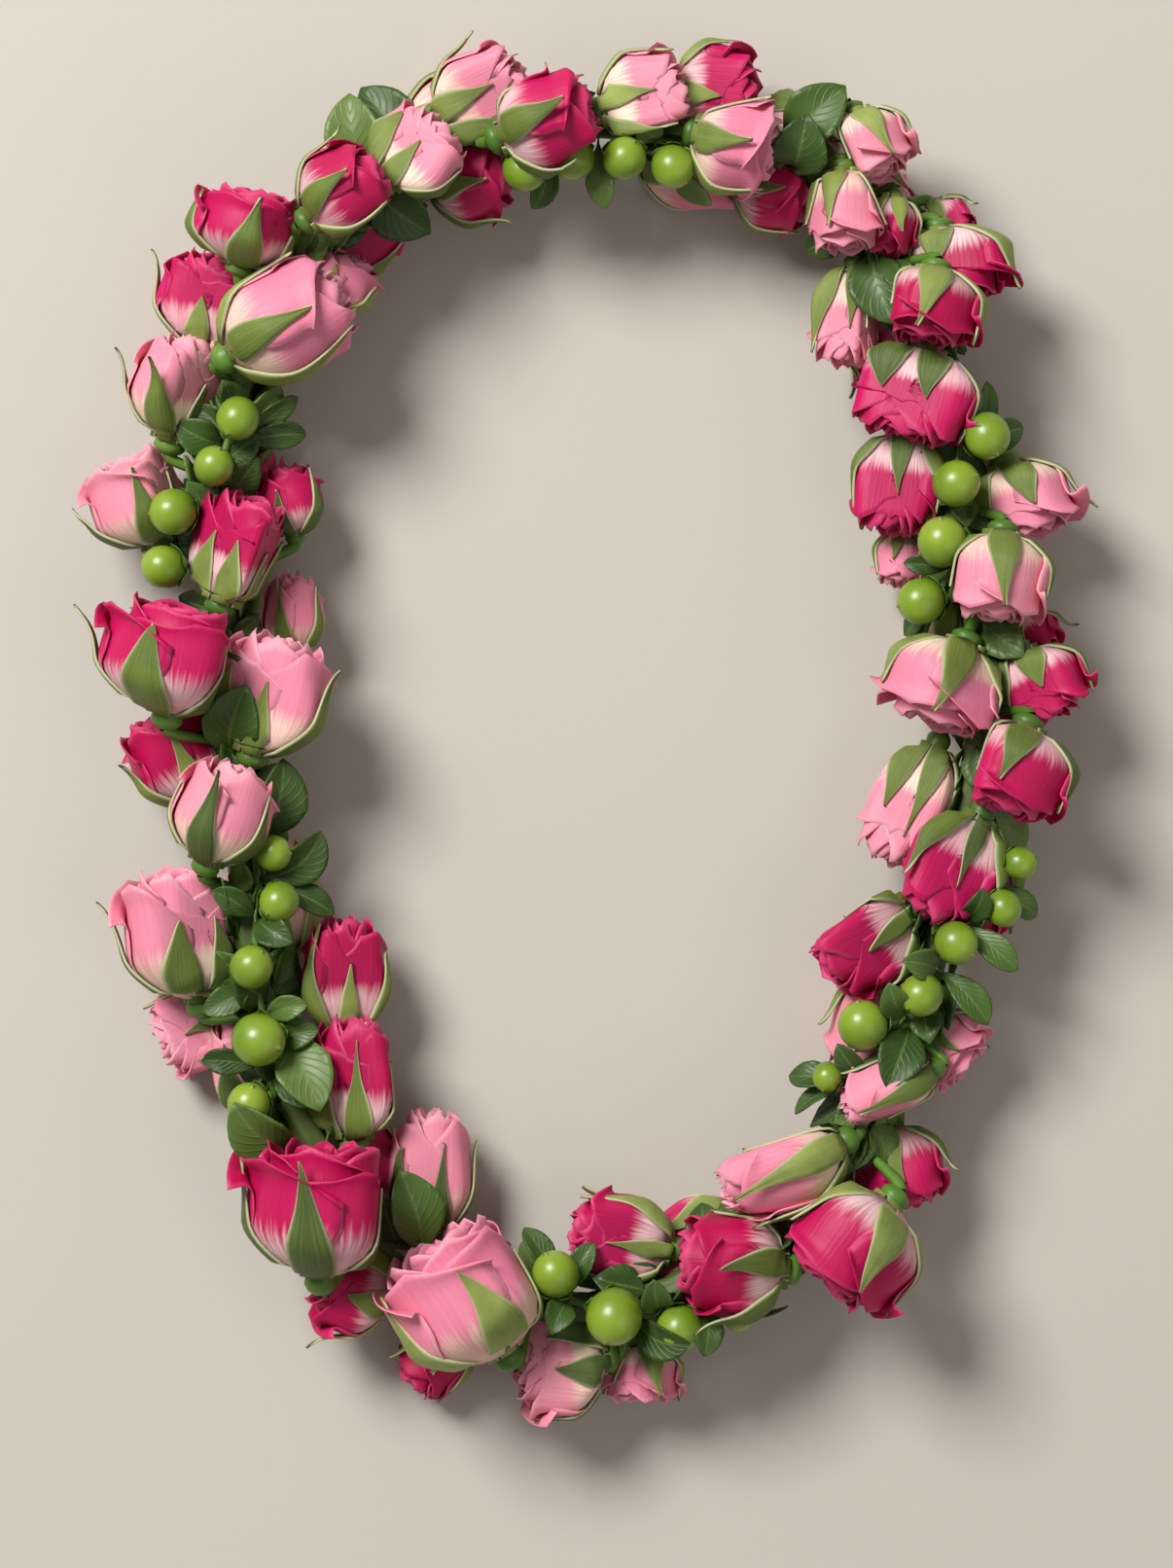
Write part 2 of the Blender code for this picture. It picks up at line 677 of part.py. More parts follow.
def body_of(shape, bud):
    """The shape without its stem, which may go into the sleeve."""
    points, faces = shape[:2]
    beside = {number for number, point in enumerate(points) if (point - bud.hip) @ bud.axis > -0.5}
    return points, [face for face in faces if all(number in beside for number in face)]


def petal_faces(numbers):
    """The faces between the rings of a bud, from the base up to the heart."""
    a, b, c, lip, valley, heart, (middle,) = numbers
    faces = []
    for k in range(PETALS):
        left, right, next_left = b[2 * k], b[2 * k + 1], b[(2 * k + 2) % 10]
        faces += [(a[k - 1], a[k], right), (a[k - 1], right, left), (a[k], next_left, right)]
        tip, side, next_tip = c[2 * k], c[2 * k + 1], c[(2 * k + 2) % 10]
        faces += [(left, right, tip), (right, side, tip)]
        faces += [(right, next_left, side), (next_left, next_tip, side)]
    for m in range(10):
        n = (m + 1) % 10
        faces += [(c[m], c[n], lip[n]), (c[m], lip[n], lip[m])]
    for k in range(PETALS):
        n = (k + 1) % PETALS
        faces += [(lip[2 * k], lip[2 * k + 1], valley[k]), (lip[2 * k + 1], lip[(2 * k + 2) % 10], valley[k])]
        faces += [(lip[(2 * k + 2) % 10], valley[n], valley[k]), (valley[k], valley[n], heart[n])]
        faces += [(valley[k], heart[n], heart[k]), (heart[k], heart[n], middle)]
    return faces


def build_green(bud, petals, numbers):
    """Stem, hip and sepals of a bud: the sepals lie just outside the petals' own facets."""
    centre = bud.centre
    points = []

    def outside(petal_point, proud, role):
        ray, reach = pressed(bud, centre, petal_point + unit(petal_point - centre) * proud, role)
        least = np.linalg.norm(petal_point - centre) + SEPAL_GAP + (0.0 if role == INNER else SEPAL_LEAST)
        points.append(centre + ray * max(reach, least))
        return len(points) - 1

    full = SEPAL_GAP + SEPAL_THICK
    inner = [outside(petals[number], SEPAL_GAP, INNER) for number in numbers[0]]
    outer = [outside(petals[number], full + SEPAL_FOOT, OUTER) for number in numbers[0]]
    faces = [(inner[0], inner[k], inner[k + 1]) for k in (1, 2, 3)]
    for k in range(PETALS):
        left_in, right_in, left_out, right_out = inner[k - 1], inner[k], outer[k - 1], outer[k]
        edges = [petals[numbers[1][2 * k + side]] for side in (0, 1)]
        e_left, e_right = (outside(edge, SEPAL_GAP, INNER) for edge in edges)
        o_left, o_right = (outside(edge, full, OUTER) for edge in edges)
        tip = outside(petals[numbers[2][2 * k]], SEPAL_GAP + SEPAL_TIP, OUTER)
        faces += [(left_in, e_right, right_in), (left_in, e_left, e_right), (e_left, tip, e_right)]
        faces += [(right_in, e_right, o_right), (right_in, o_right, right_out), (e_right, tip, o_right)]
        faces += [(left_in, left_out, o_left), (left_in, o_left, e_left), (e_left, o_left, tip)]
        if not bud.keeled:
            faces += [(left_out, right_out, o_right), (left_out, o_right, o_left), (o_left, o_right, tip)]
            continue
        keel = (points[o_left] + points[o_right]) / 2
        ray, reach = pressed(bud, centre, keel + unit(keel - centre) * KEEL, OUTER)
        points.append(centre + ray * max(reach, np.linalg.norm(keel - centre)))
        keel = len(points) - 1
        faces += [(left_out, right_out, keel), (right_out, o_right, keel), (left_out, keel, o_left)]
        faces += [(o_left, keel, tip), (keel, o_right, tip)]
    add_stem(bud, points, faces, outer)
    return points, faces


def add_stem(bud, points, faces, outer):
    """Hip and stem below a bud's lowest ring, down to the root in the sleeve."""
    hip = []
    for k in range(PETALS):
        hip_point = bud.point(-HIP_BACK, bud.hip_radius, 36 + 72 * k)
        ray, reach = pressed(bud, bud.hip, hip_point, OUTER)
        hip.append(len(points))
        points.append(bud.hip + ray * max(reach, HIP_CORE))
    for k in range(PETALS):
        faces += [(hip[k - 1], hip[k], outer[k]), (hip[k - 1], outer[k], outer[k - 1])]
    root = list(range(len(points), len(points) + 3))
    points.extend(bud.root_ring)
    faces += strip(root, hip, "hlhhlhlh")
    faces.append((root[0], root[2], root[1]))


def room_at_ends(foot, chord, along, stations):
    """How far a stem's foot moves along its chord to stay clear of the ends of a length of sleeve."""
    from_start = (foot - stations[chord]) @ along
    to_end = (stations[(chord + 1) % STATIONS] - foot) @ along
    if chord % CHORDS_IN_LENGTH == 0 and from_start < STEM_ROOM:
        return STEM_ROOM - from_start
    if chord % CHORDS_IN_LENGTH == CHORDS_IN_LENGTH - 1 and to_end < STEM_ROOM:
        return to_end - STEM_ROOM
    return 0.0


def plant_stems(buds, stations):
    """Give each bud a root: a small ring sunk in the sleeve's wall, clear of the bore."""
    hard_parts = []
    for bud in buds:
        foot, chord, along = nearest_on_loop(bud.base - bud.axis * STEM_BEHIND_BASE, stations)
        foot = foot + along * room_at_ends(foot, chord, along, stations)
        lean = bud.hip - foot
        out = lean - along * (lean @ along)
        height = np.linalg.norm(out)
        out = out / height
        middle = foot + lean * (STEM_ROOT / height)
        bud.length_of_sleeve = chord // CHORDS_IN_LENGTH
        bud.root = middle
        u, _ = bud.frame()
        first = u - out * (u @ out)
        if np.linalg.norm(first) < 0.1:
            first = along
        first = unit(first)
        second = np.cross(out, first)
        ring = []
        for k in range(3):
            angle = math.radians(36 + 120 * k)
            ring.append(middle + (first * math.cos(angle) + second * math.sin(angle)) * STEM_RADIUS)
        bud.root_ring = ring
        hard_parts.append((bud.index, middle, bud.hip, STEM_REACH))
        hard_parts.append((bud.index, bud.hip, bud.base, bud.hip_radius))
    return hard_parts


def tube(points, radius, sides, closed=False):
    """A tube through the points: its points and faces."""
    count = len(points)
    verts, faces = [], []
    for index, point in enumerate(points):
        before = points[index - 1] if closed or index else point
        after = points[(index + 1) % count] if closed or index < count - 1 else point
        along = unit(after - before)
        guide = UP if abs(along[2]) < 0.9 else np.array([1.0, 0.0, 0.0])
        u = unit(np.cross(guide, along))
        v = np.cross(along, u)
        for side in range(sides):
            angle = 2 * math.pi * side / sides
            verts.append(point + (u * math.cos(angle) + v * math.sin(angle)) * radius)
    for index in range(count if closed else count - 1):
        low, high = index * sides, ((index + 1) % count) * sides
        for side in range(sides):
            n = (side + 1) % sides
            faces += [(low + side, low + n, high + n), (low + side, high + n, high + side)]
    if not closed:
        last = (count - 1) * sides
        for side in range(1, sides - 1):
            faces.append((0, side + 1, side))
            faces.append((last, last + side, last + side + 1))
    return verts, faces


def sleeve_length(stations, number):
    """One length of the sleeve: a tube with the cord's bore through it."""
    points = [stations[(number * CHORDS_IN_LENGTH + step) % STATIONS] for step in range(CHORDS_IN_LENGTH + 1)]
    whole = [
        unit(stations[(number * CHORDS_IN_LENGTH + step + 1) % STATIONS]
             - stations[(number * CHORDS_IN_LENGTH + step - 1) % STATIONS])
        for step in range(CHORDS_IN_LENGTH + 1)
    ]
    points[0] = points[0] + whole[0] * GAP / 2
    points[-1] = points[-1] - whole[-1] * GAP / 2
    verts, faces, rings = [], [], []
    for point, along in zip(points, whole):
        u = unit(np.cross(UP, along))
        v = np.cross(along, u)
        ring = []
        for sides, radius in ((SLEEVE_SIDES, SLEEVE_RADIUS), (CORD_SIDES, SLEEVE_BORE)):
            ring.append(list(range(len(verts), len(verts) + sides)))
            for side in range(sides):
                angle = 2 * math.pi * side / sides
                verts.append(point + (u * math.cos(angle) + v * math.sin(angle)) * radius)
        rings.append(ring)
    for (low_out, low_in), (high_out, high_in) in zip(rings, rings[1:]):
        faces += strip(low_out, high_out, "lh" * SLEEVE_SIDES)
        faces += [face[::-1] for face in strip(low_in, high_in, "lh" * CORD_SIDES)]
    faces += [face[::-1] for face in annulus(rings[0][0], rings[0][1])]
    faces += annulus(rings[-1][0], rings[-1][1])
    return verts, faces


def annulus(outer, inner):
    """Triangles of a flat ring between an outer and an inner ring of points."""
    faces, i, j = [], 0, 0
    while i < len(outer) or j < len(inner):
        outer_next = outer[(i + 1) % len(outer)]
        inner_next = inner[(j + 1) % len(inner)]
        if j == len(inner) or (i < len(outer) and (i + 1) / len(outer) <= (j + 1) / len(inner)):
            faces.append((outer[i % len(outer)], outer_next, inner[j % len(inner)]))
            i += 1
        else:
            faces.append((outer[i % len(outer)], inner_next, inner[j % len(inner)]))
            j += 1
    return faces


def berry(root, centre, radius):
    """A berry and its stalk in one shape, from a root sunk in the twig."""
    axis = unit(centre - root)
    u = unit(np.cross(axis, (1.0, 0.0, 0.1)))
    v = np.cross(axis, u)
    distance = np.linalg.norm(centre - root)
    rings = [(along, BERRY_STALK, 3, True) for along in (0.0, distance - radius * BERRY_STALK_REACH)]
    for number, polar in enumerate(BERRY_ROWS):
        along = distance - radius * math.cos(math.radians(polar))
        rings.append((along, radius * math.sin(math.radians(polar)), BERRY_SIDES, number % 2))
    verts, numbers, faces = [], [], []
    for along, flat, sides, turned in rings:
        numbers.append(list(range(len(verts), len(verts) + sides)))
        for side in range(sides):
            angle = 2 * math.pi * (side + (0.5 if turned else 0.0)) / sides
            verts.append(root + axis * along + (u * math.cos(angle) + v * math.sin(angle)) * flat)
    verts.append(centre + axis * radius)
    faces.append(tuple(reversed(numbers[0])))
    faces += strip(numbers[0], numbers[1], "lh" * 3)
    faces += strip(numbers[1], numbers[2], "hhlhhlhhlh")
    for low, high in zip(numbers[2:], numbers[3:]):
        faces += strip(low, high, "lh" * BERRY_SIDES)
    last = numbers[-1]
    faces += [(last[side], last[(side + 1) % BERRY_SIDES], len(verts) - 1) for side in range(BERRY_SIDES)]
    return verts, faces, [1] * len(faces)


def blade(root, middle, along, length, out):
    """A rounded leaf with a raised rib, from a root sunk in its twig or in the sleeve."""
    side = np.cross(out, along)
    half = length * LEAF_HALF
    left = [middle + along * length * place - side * half * wide for place, wide in LEAF_SHOULDERS]
    right = [middle + along * length * place + side * half * wide for place, wide in LEAF_SHOULDERS]
    edge = [root, *left, middle + along * length * LEAF_TIP, *right[::-1]]
    verts = edge + [middle + out * LEAF_THICK * LEAF_RIB, middle - out * LEAF_THICK * (1 - LEAF_RIB)]
    faces = []
    for k in range(6):
        n = (k + 1) % 6
        faces += [(k, n, 6), (n, k, 7)]
    return verts, faces


def opens_out(leaf):
    """True where the leaf's root lies behind its blade, so that its two sides don't cross."""
    edge, above, below = leaf[0][:6], leaf[0][6], leaf[0][7]
    out = unit(above - below)
    return all(np.cross(edge[k - 1] - below, edge[k] - below) @ out > LEAST_SWEEP for k in range(6))


def material(name, colour, roughness):
    """A plain Principled material."""
    made = bpy.data.materials.new(name)
    made.use_nodes = True
    shader = made.node_tree.nodes["Principled BSDF"]
    shader.inputs["Base Color"].default_value = (*colour, 1.0)
    shader.inputs["Roughness"].default_value = roughness
    shader.inputs["Metallic"].default_value = 0.0
    made.diffuse_color = (*colour, 1.0)
    return made


def new_object(name, shape, collection, finishes):
    """An object from points in millimetres, faces and, where they differ, each face's material."""
    mesh = bpy.data.meshes.new(name)
    mesh.from_pydata([tuple(np.array(point) * MM) for point in shape[0]], [], shape[1])
    for finish in finishes:
        mesh.materials.append(finish)
    if len(shape) > 2:
        mesh.polygons.foreach_set("material_index", shape[2])
    thing = bpy.data.objects.new(name, mesh)
    collection.objects.link(thing)
    return thing


def fuse(name, shapes, collection, finishes):
    """One object from several closed shapes that overlap, joined by a Boolean union."""
    first = new_object(name, shapes[0], collection, finishes)
    if len(shapes) == 1:
        return first
    others = bpy.data.collections.new(name + "_joined")
    bpy.context.scene.collection.children.link(others)
    for number, shape in enumerate(shapes[1:]):
        new_object(f"{name}_{number}", shape, others, finishes)
    joint = first.modifiers.new("union", "BOOLEAN")
    joint.operation = "UNION"
    joint.operand_type = "COLLECTION"
    joint.collection = others
    joint.solver = "MANIFOLD"
    bpy.context.view_layer.update()
    evaluated = first.evaluated_get(bpy.context.evaluated_depsgraph_get())
    whole = bpy.data.meshes.new_from_object(evaluated)
    first.modifiers.clear()
    old = first.data
    first.data = whole
    bpy.data.meshes.remove(old)
    for thing in list(others.objects):
        bpy.data.objects.remove(thing)
    bpy.data.collections.remove(others)
    drop_scraps(whole)
    flatten_below(whole)
    return first


def flatten_below(mesh):
    """Cut the mesh flat where it passes the surface that the lei lies on."""
    work = bmesh.new()
    work.from_mesh(mesh)
    if min(vert.co.z for vert in work.verts) < 0.0:
        everything = work.verts[:] + work.edges[:] + work.faces[:]
        cut = bmesh.ops.bisect_plane(
            work, geom=everything, plane_co=(0, 0, 0), plane_no=(0, 0, 1), clear_inner=True
        )
        rim = [item for item in cut["geom_cut"] if isinstance(item, bmesh.types.BMEdge)]
        bmesh.ops.holes_fill(work, edges=rim)
        bmesh.ops.recalc_face_normals(work, faces=work.faces[:])
    work.to_mesh(mesh)
    work.free()


def drop_scraps(mesh):
    """Keep the largest body of a fused mesh."""
    work = bmesh.new()
    work.from_mesh(mesh)
    bmesh.ops.triangulate(work, faces=work.faces[:])
    seen, bodies = set(), []
    for start in work.verts:
        if start.index in seen:
            continue
        body, queue = [], [start]
        seen.add(start.index)
        while queue:
            vert = queue.pop()
            body.append(vert)
            for edge in vert.link_edges:
                other = edge.other_vert(vert)
                if other.index not in seen:
                    seen.add(other.index)
                    queue.append(other)
        bodies.append(body)
    bodies.sort(key=len)
    for body in bodies[:-1]:
        bmesh.ops.delete(work, geom=body, context="VERTS")
    work.to_mesh(mesh)
    work.free()


def berry_places(sprig, stations):
    """Each berry's place along the loop, middle, radius and direction, lifted clear of the twig."""
    places = []
    for x, y, z, diameter in sprig[0]:
        middle = np.array([x, y, z], float)
        foot, chord, _ = nearest_on_loop(middle, stations)
        out = unit(middle - foot)
        height = max(np.linalg.norm(middle - foot), TWIG_OFFSET + TWIG_RADIUS + diameter / 2 + BERRY_LIFT)
        chord_length = np.linalg.norm(stations[(chord + 1) % STATIONS] - stations[chord])
        place = chord + np.linalg.norm(foot - stations[chord]) / chord_length
        if places:
            place += STATIONS * round((places[0][0] - place) / STATIONS)
        places.append((place, foot + out * height, diameter / 2, out))
    return sorted(places, key=lambda row: row[0])


def twig_point(place, out, stations):
    """A point of the twig, beside the sleeve at a place along the loop."""
    chord = math.floor(place)
    start, end = stations[chord % STATIONS], stations[(chord + 1) % STATIONS]
    along = unit(end - start)
    return lerp(start, end, place - chord) + unit(out - along * (out @ along)) * TWIG_OFFSET


def sprig_shapes(berries, stations):
    """Twig, stalks and berries of one sprig of hypericum, with the twig's points for its leaves."""
    twig = []
    for (place, _, _, out), (next_place, _, _, next_out) in zip(berries, berries[1:]):
        steps = max(1, round((next_place - place) / TWIG_STEP))
        for step in range(steps):
            share = step / steps
            twig.append(twig_point(lerp(place, next_place, share), lerp(out, next_out, share), stations))
    twig.append(twig_point(berries[-1][0], berries[-1][3], stations))
    shapes = [tube(twig, TWIG_RADIUS, TWIG_SIDES)]
    for place, middle, radius, out in berries:
        shapes.append(berry(twig_point(place, out, stations), middle, radius))
    return shapes, twig


def tree_of(shape):
    """A search tree of a shape's faces."""
    return BVHTree.FromPolygons([tuple(point) for point in shape[0]], shape[1])


def clear_of(shape, trees):
    """True where the shape touches none of the trees' shapes."""
    tree = tree_of(shape)
    return not any(tree.overlap(other) for other in trees)


def swollen(shape, by):
    """The shape with every point moved out from its middle by a set distance."""
    middle = np.mean(shape[0], axis=0)
    return [point + unit(point - middle) * by for point in shape[0]], shape[1]


def flat_heading(heading, out):
    """The direction that a heading in degrees gives in a leaf's plane."""
    along = np.array([math.cos(math.radians(heading)), math.sin(math.radians(heading)), 0.0])
    return unit(along - out * (along @ out))


def leaf_tries(row, roots, stations):
    """Each height, size and turn that a leaf of a sprig may have, in order."""
    x, y, z, full_length, heading = row
    for size, lift, turn in itertools.product(LEAF_SIZES, LEAF_LIFTS, LEAF_TURNS):
        length = full_length * size
        middle = np.array([x, y, z + lift], float)
        out = unit((middle - nearest_on_loop(middle, stations)[0]) * LEAF_WAY)
        along = flat_heading(heading + turn, out)
        back = middle - along * length * LEAF_BACK
        near = min(roots, key=lambda point: np.linalg.norm(point - back))
        away = back - near
        stalk = away * min(1.0, LEAF_REACH / np.linalg.norm(away))
        yield near - unit(away) * LEAF_SINK, near + stalk + along * length * LEAF_BACK, along, length, out


def filler_tries(chord, share, side, stations):
    """Each height, size and turn that a leaf over a place beside the sleeve may have, in order."""
    start, end = stations[chord], stations[(chord + 1) % STATIONS]
    forward = -unit(end - start)
    across = np.cross(forward, UP)
    heading = math.degrees(math.atan2(forward[1], forward[0]))
    for length, lift, turn in itertools.product(FILLER_LENGTHS, FILLER_LIFTS, FILLER_TURNS):
        middle = lerp(start, end, share) + across * side + UP * lift
        out = unit(across * side * FILLER_SPREAD + UP * lift)
        along = flat_heading(heading + turn, out)
        back = middle - along * length * LEAF_BACK
        last = np.linalg.norm(end - start) - STEM_ROOM
        near = start - forward * min(last, max(STEM_ROOM, (start - back) @ forward))
        yield near + unit(back - near) * STEM_ROOT, middle, along, length, out


def first_clear(tries, trees, berry_trees=()):
    """The first leaf of the tries that is clear of buds, berries and other leaves, or nothing."""
    for shape in tries:
        leaf = blade(*shape)
        if not opens_out(leaf):
            continue
        if clear_of(swollen(leaf, LEAF_CLEAR), trees) and clear_of(leaf, [*trees, *berry_trees]):
            return leaf
    return None


def is_bare(chord, share, side, stations, trees):
    """True where nothing lies above this place on or beside the sleeve."""
    start, end = stations[chord], stations[(chord + 1) % STATIONS]
    across = np.cross(unit(start - end), UP)
    above = lerp(start, end, share) + across * side + UP * TOP
    return not any(tree.ray_cast(tuple(above), tuple(-UP), TOP)[0] for tree in trees)


def centre_on_origin(collection):
    """Move every mesh so that the middle of the lei's own box is over the origin."""
    corners = np.array([vert.co for thing in collection.objects for vert in thing.data.vertices])
    middle = (corners.min(axis=0) + corners.max(axis=0)) / 2
    for thing in collection.objects:
        thing.data.transform(Matrix.Translation((-middle[0], -middle[1], 0.0)))


def main():
    """Model the lei."""
    for thing in list(bpy.data.objects):
        bpy.data.objects.remove(thing)
    random.seed(SEED)
    lei = bpy.data.collections.new("rosebud_lei")
    bpy.context.scene.collection.children.link(lei)
    cord_white = material("cord", (0.80, 0.77, 0.70), 0.8)
    green = material("stems_and_sepals", (0.20, 0.30, 0.08), 0.5)
    berry_green = material("hypericum_berries", (0.30, 0.42, 0.02), 0.25)
    leaf_green = material("hypericum_leaves", (0.04, 0.12, 0.04), 0.5)
    hot = material("hot_pink_petals", (0.62, 0.02, 0.12), 0.45)
    light = material("light_pink_petals", (0.85, 0.33, 0.42), 0.45)

    stations = loop_stations()
    buds = make_buds()
    places = [berry_places(sprig, stations) for sprig in SPRIGS]
    berries = [(middle, radius) for rows in places for _, middle, radius, _ in rows]
    settle(buds, stations, berries)
    rest_on_three(buds)
    hard_parts = plant_stems(buds, stations)
    for index in range(STATIONS):
        hard_parts.append(("sleeve", stations[index], stations[(index + 1) % STATIONS], SLEEVE_RADIUS))
    sprigs = [sprig_shapes(rows, stations) for rows in places]
    for number, (rows, (_, twig)) in enumerate(zip(places, sprigs)):
        hard_parts += [(f"twig {number}", start, end, TWIG_RADIUS) for start, end in zip(twig, twig[1:])]
        for place, (_, centre, radius, _) in enumerate(rows):
            hard_parts.append((f"berry {number} {place}", centre, centre + 0.001, radius))
    hard_trees = {"sleeve": [tree_of(sleeve_length(stations, number)) for number in range(SLEEVE_LENGTHS)]}
    for number, (parts, _) in enumerate(sprigs):
        hard_trees[f"twig {number}"] = [tree_of(parts[0])]
        for place, part in enumerate(parts[1:]):
            hard_trees[f"berry {number} {place}"] = [tree_of(part)]
    petals, greens = build_buds(buds, hard_parts, hard_trees)

    bud_trees = [tree_of(shape) for shape in [*petals.values(), *greens.values()]]
    for sprig, (parts, twig) in zip(SPRIGS, sprigs):
        berry_trees = [tree_of(shape) for shape in parts[1:]]
        roots = [(start + end) / 2 for start, end in zip(twig, twig[1:])]
        leaves = [first_clear(leaf_tries(row, roots, stations), bud_trees, berry_trees) for row in sprig[1]]
        parts += [leaf for leaf in leaves if leaf]
    trees = bud_trees + [tree_of(shape) for parts, _ in sprigs for shape in parts]
    fillers = [[] for _ in range(SLEEVE_LENGTHS)]
    spots = list(itertools.product(range(STATIONS), FILLER_SHARES, FILLER_SIDES))
    random.shuffle(spots)
    for chord, share, side in spots:
        if sum(map(len, fillers)) == MOST_FILLERS or not is_bare(chord, share, side, stations, trees):
            continue
        number = chord // CHORDS_IN_LENGTH
        sleeves = [tree for place, tree in enumerate(hard_trees["sleeve"]) if place != number]
        leaf = first_clear(filler_tries(chord, share, side, stations), trees + sleeves)
        if leaf:
            fillers[number].append(leaf)
            trees.append(tree_of(leaf))

    new_object("string", tube(list(stations), CORD_RADIUS, CORD_SIDES, closed=True), lei, [cord_white])
    for number in range(SLEEVE_LENGTHS):
        parts = [sleeve_length(stations, number), *fillers[number]]
        parts += [greens[bud.index] for bud in buds if bud.length_of_sleeve == number]
        fuse(f"calyxes_{number + 1:02d}", parts, lei, [green, hot, light])
    for colour, finish in ((HOT, hot), (LIGHT, light)):
        mine = [index for index in petals if buds[index].colour == colour]
        for number, index in enumerate(mine):
            new_object(f"{colour}_{number + 1:02d}", petals[index], lei, [finish])
    for number, (parts, _) in enumerate(sprigs):
        fuse(f"hypericum_{number + 1:02d}", parts, lei, [leaf_green, berry_green])
    centre_on_origin(lei)


main()
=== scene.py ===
"""Rosebud lei, dressed: fine petals, sepals, stems, berries and leaves in place of the lei's plain solids.

The layout repeats the solids' own: lengths are in millimetres until a mesh is made, X is to the right,
Y towards the nape end of the loop and Z up, from the surface that the lei lies on.
"""

import itertools
import math
import random

import bpy
import numpy as np
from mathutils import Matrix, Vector


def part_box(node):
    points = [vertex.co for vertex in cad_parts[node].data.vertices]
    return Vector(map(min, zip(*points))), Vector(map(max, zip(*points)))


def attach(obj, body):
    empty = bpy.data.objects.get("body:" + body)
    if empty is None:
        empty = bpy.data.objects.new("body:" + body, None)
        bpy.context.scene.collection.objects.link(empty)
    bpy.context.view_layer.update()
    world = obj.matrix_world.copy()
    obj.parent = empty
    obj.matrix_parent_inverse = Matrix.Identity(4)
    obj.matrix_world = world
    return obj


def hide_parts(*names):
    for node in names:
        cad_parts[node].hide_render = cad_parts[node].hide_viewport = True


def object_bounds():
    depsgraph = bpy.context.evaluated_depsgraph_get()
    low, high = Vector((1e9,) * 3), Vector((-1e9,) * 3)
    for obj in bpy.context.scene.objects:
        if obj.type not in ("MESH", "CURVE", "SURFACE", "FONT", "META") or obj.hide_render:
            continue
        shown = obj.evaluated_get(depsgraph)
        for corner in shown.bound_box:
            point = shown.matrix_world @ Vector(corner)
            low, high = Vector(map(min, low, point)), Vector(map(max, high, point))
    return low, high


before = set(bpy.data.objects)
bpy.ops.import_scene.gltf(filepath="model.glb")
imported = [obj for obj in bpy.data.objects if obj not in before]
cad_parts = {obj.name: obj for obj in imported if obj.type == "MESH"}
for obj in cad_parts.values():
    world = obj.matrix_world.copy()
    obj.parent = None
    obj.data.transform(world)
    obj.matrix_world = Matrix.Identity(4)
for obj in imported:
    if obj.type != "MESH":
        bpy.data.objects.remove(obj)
SOLID_BOX = [list(corner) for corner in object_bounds()]

MM = 0.001
GAP = 0.35
POINT_SPAN = 0.001
SEED = 7
UP = np.array([0.0, 0.0, 1.0])
NEAR_X = (1.0, 0.0, 0.1)

# The cord, and the sleeve of pressed stems round it
CORD_HEIGHT = 27.0
CORD_RADIUS = 1.2
CORD_SIDES = 5
SLEEVE_RADIUS = 5.0
SLEEVE_LENGTHS = 8
CHORDS_IN_LENGTH = 5
STATIONS = SLEEVE_LENGTHS * CHORDS_IN_LENGTH
CURVE_STEP = 0.05

# The buds
PETALS = 5
SWELL = 1.15
TIP_RISE = 1.5
ROLL = 0.35
CENTRE_SHARE = 0.45
SMALL_WIDTH = 18
DEEP_LEVEL = 24

# The outline of a bud: shares of its length, and of its radius
COLLAR = (0.05, 0.6)
WIDEST = 0.4
CLOSED_LIP = 0.6
OPEN_LIP = 1.05

# Stems and hips
STEM_BEHIND_BASE = 12.0
STEM_RADIUS = 1.7
STEM_REACH = 2.3
STEM_ROOT = 3.3
STEM_ROOM = 6.5
HIP_BACK = 0.14
HIP_SHARE = 0.30
HIP_LEAST = 2.4
HIP_MOST = 4.6

# How the buds settle beside each other, the berries and the sleeve
SETTLED = 0.55
SETTLING = 60
LAST_SETTLING = 12
HOMING = np.array([0.12, 0.12, 0.02])
FAR_APART = 55
PARTING = 0.25
PARTING_WAY = (0.5, 0.5, 1.0)
UPWARD = (0.0, 0.0, 0.01)
SHOULDER = 0.85
BERRY_CLOSE = 0.45
BERRY_WAY = (0.6, 0.6, 1.0)
BERRY_PARTING = 0.5
SLEEVE_CLOSE = 0.4
HIP_ROOM = 0.1

# The buds of the underside
UNDERSIDE_BUDS = 18
UNDERSIDE_LENGTH = 33.0
UNDERSIDE_WIDTH = 25
UNDERSIDE_OPENING = 0.2
UNDERSIDE_DROP = 13.0
UNDERSIDE_LEAN = math.radians(30.0)
SAME_COLOUR_WAY = (1, 1, 0.4)
REST_LIFT = 0.6
REST_DEPTH = 1.8
REST_ANGLES = (90, 210, 330)
REST_MIDDLE = (0.0, 15.0)
TOP = 63.0

# The planes between a bud and its neighbours, and how it wraps the sleeve, a twig or a berry
WALL_REACH = 1.4
WALL_ROOM = 4
WALL_SHARES = (0.28, 0.72)
LEAST_LEVEL = 2.0
BALL_STEP = 4.0
EASE = 4.0
STEEPNESS = 2.0

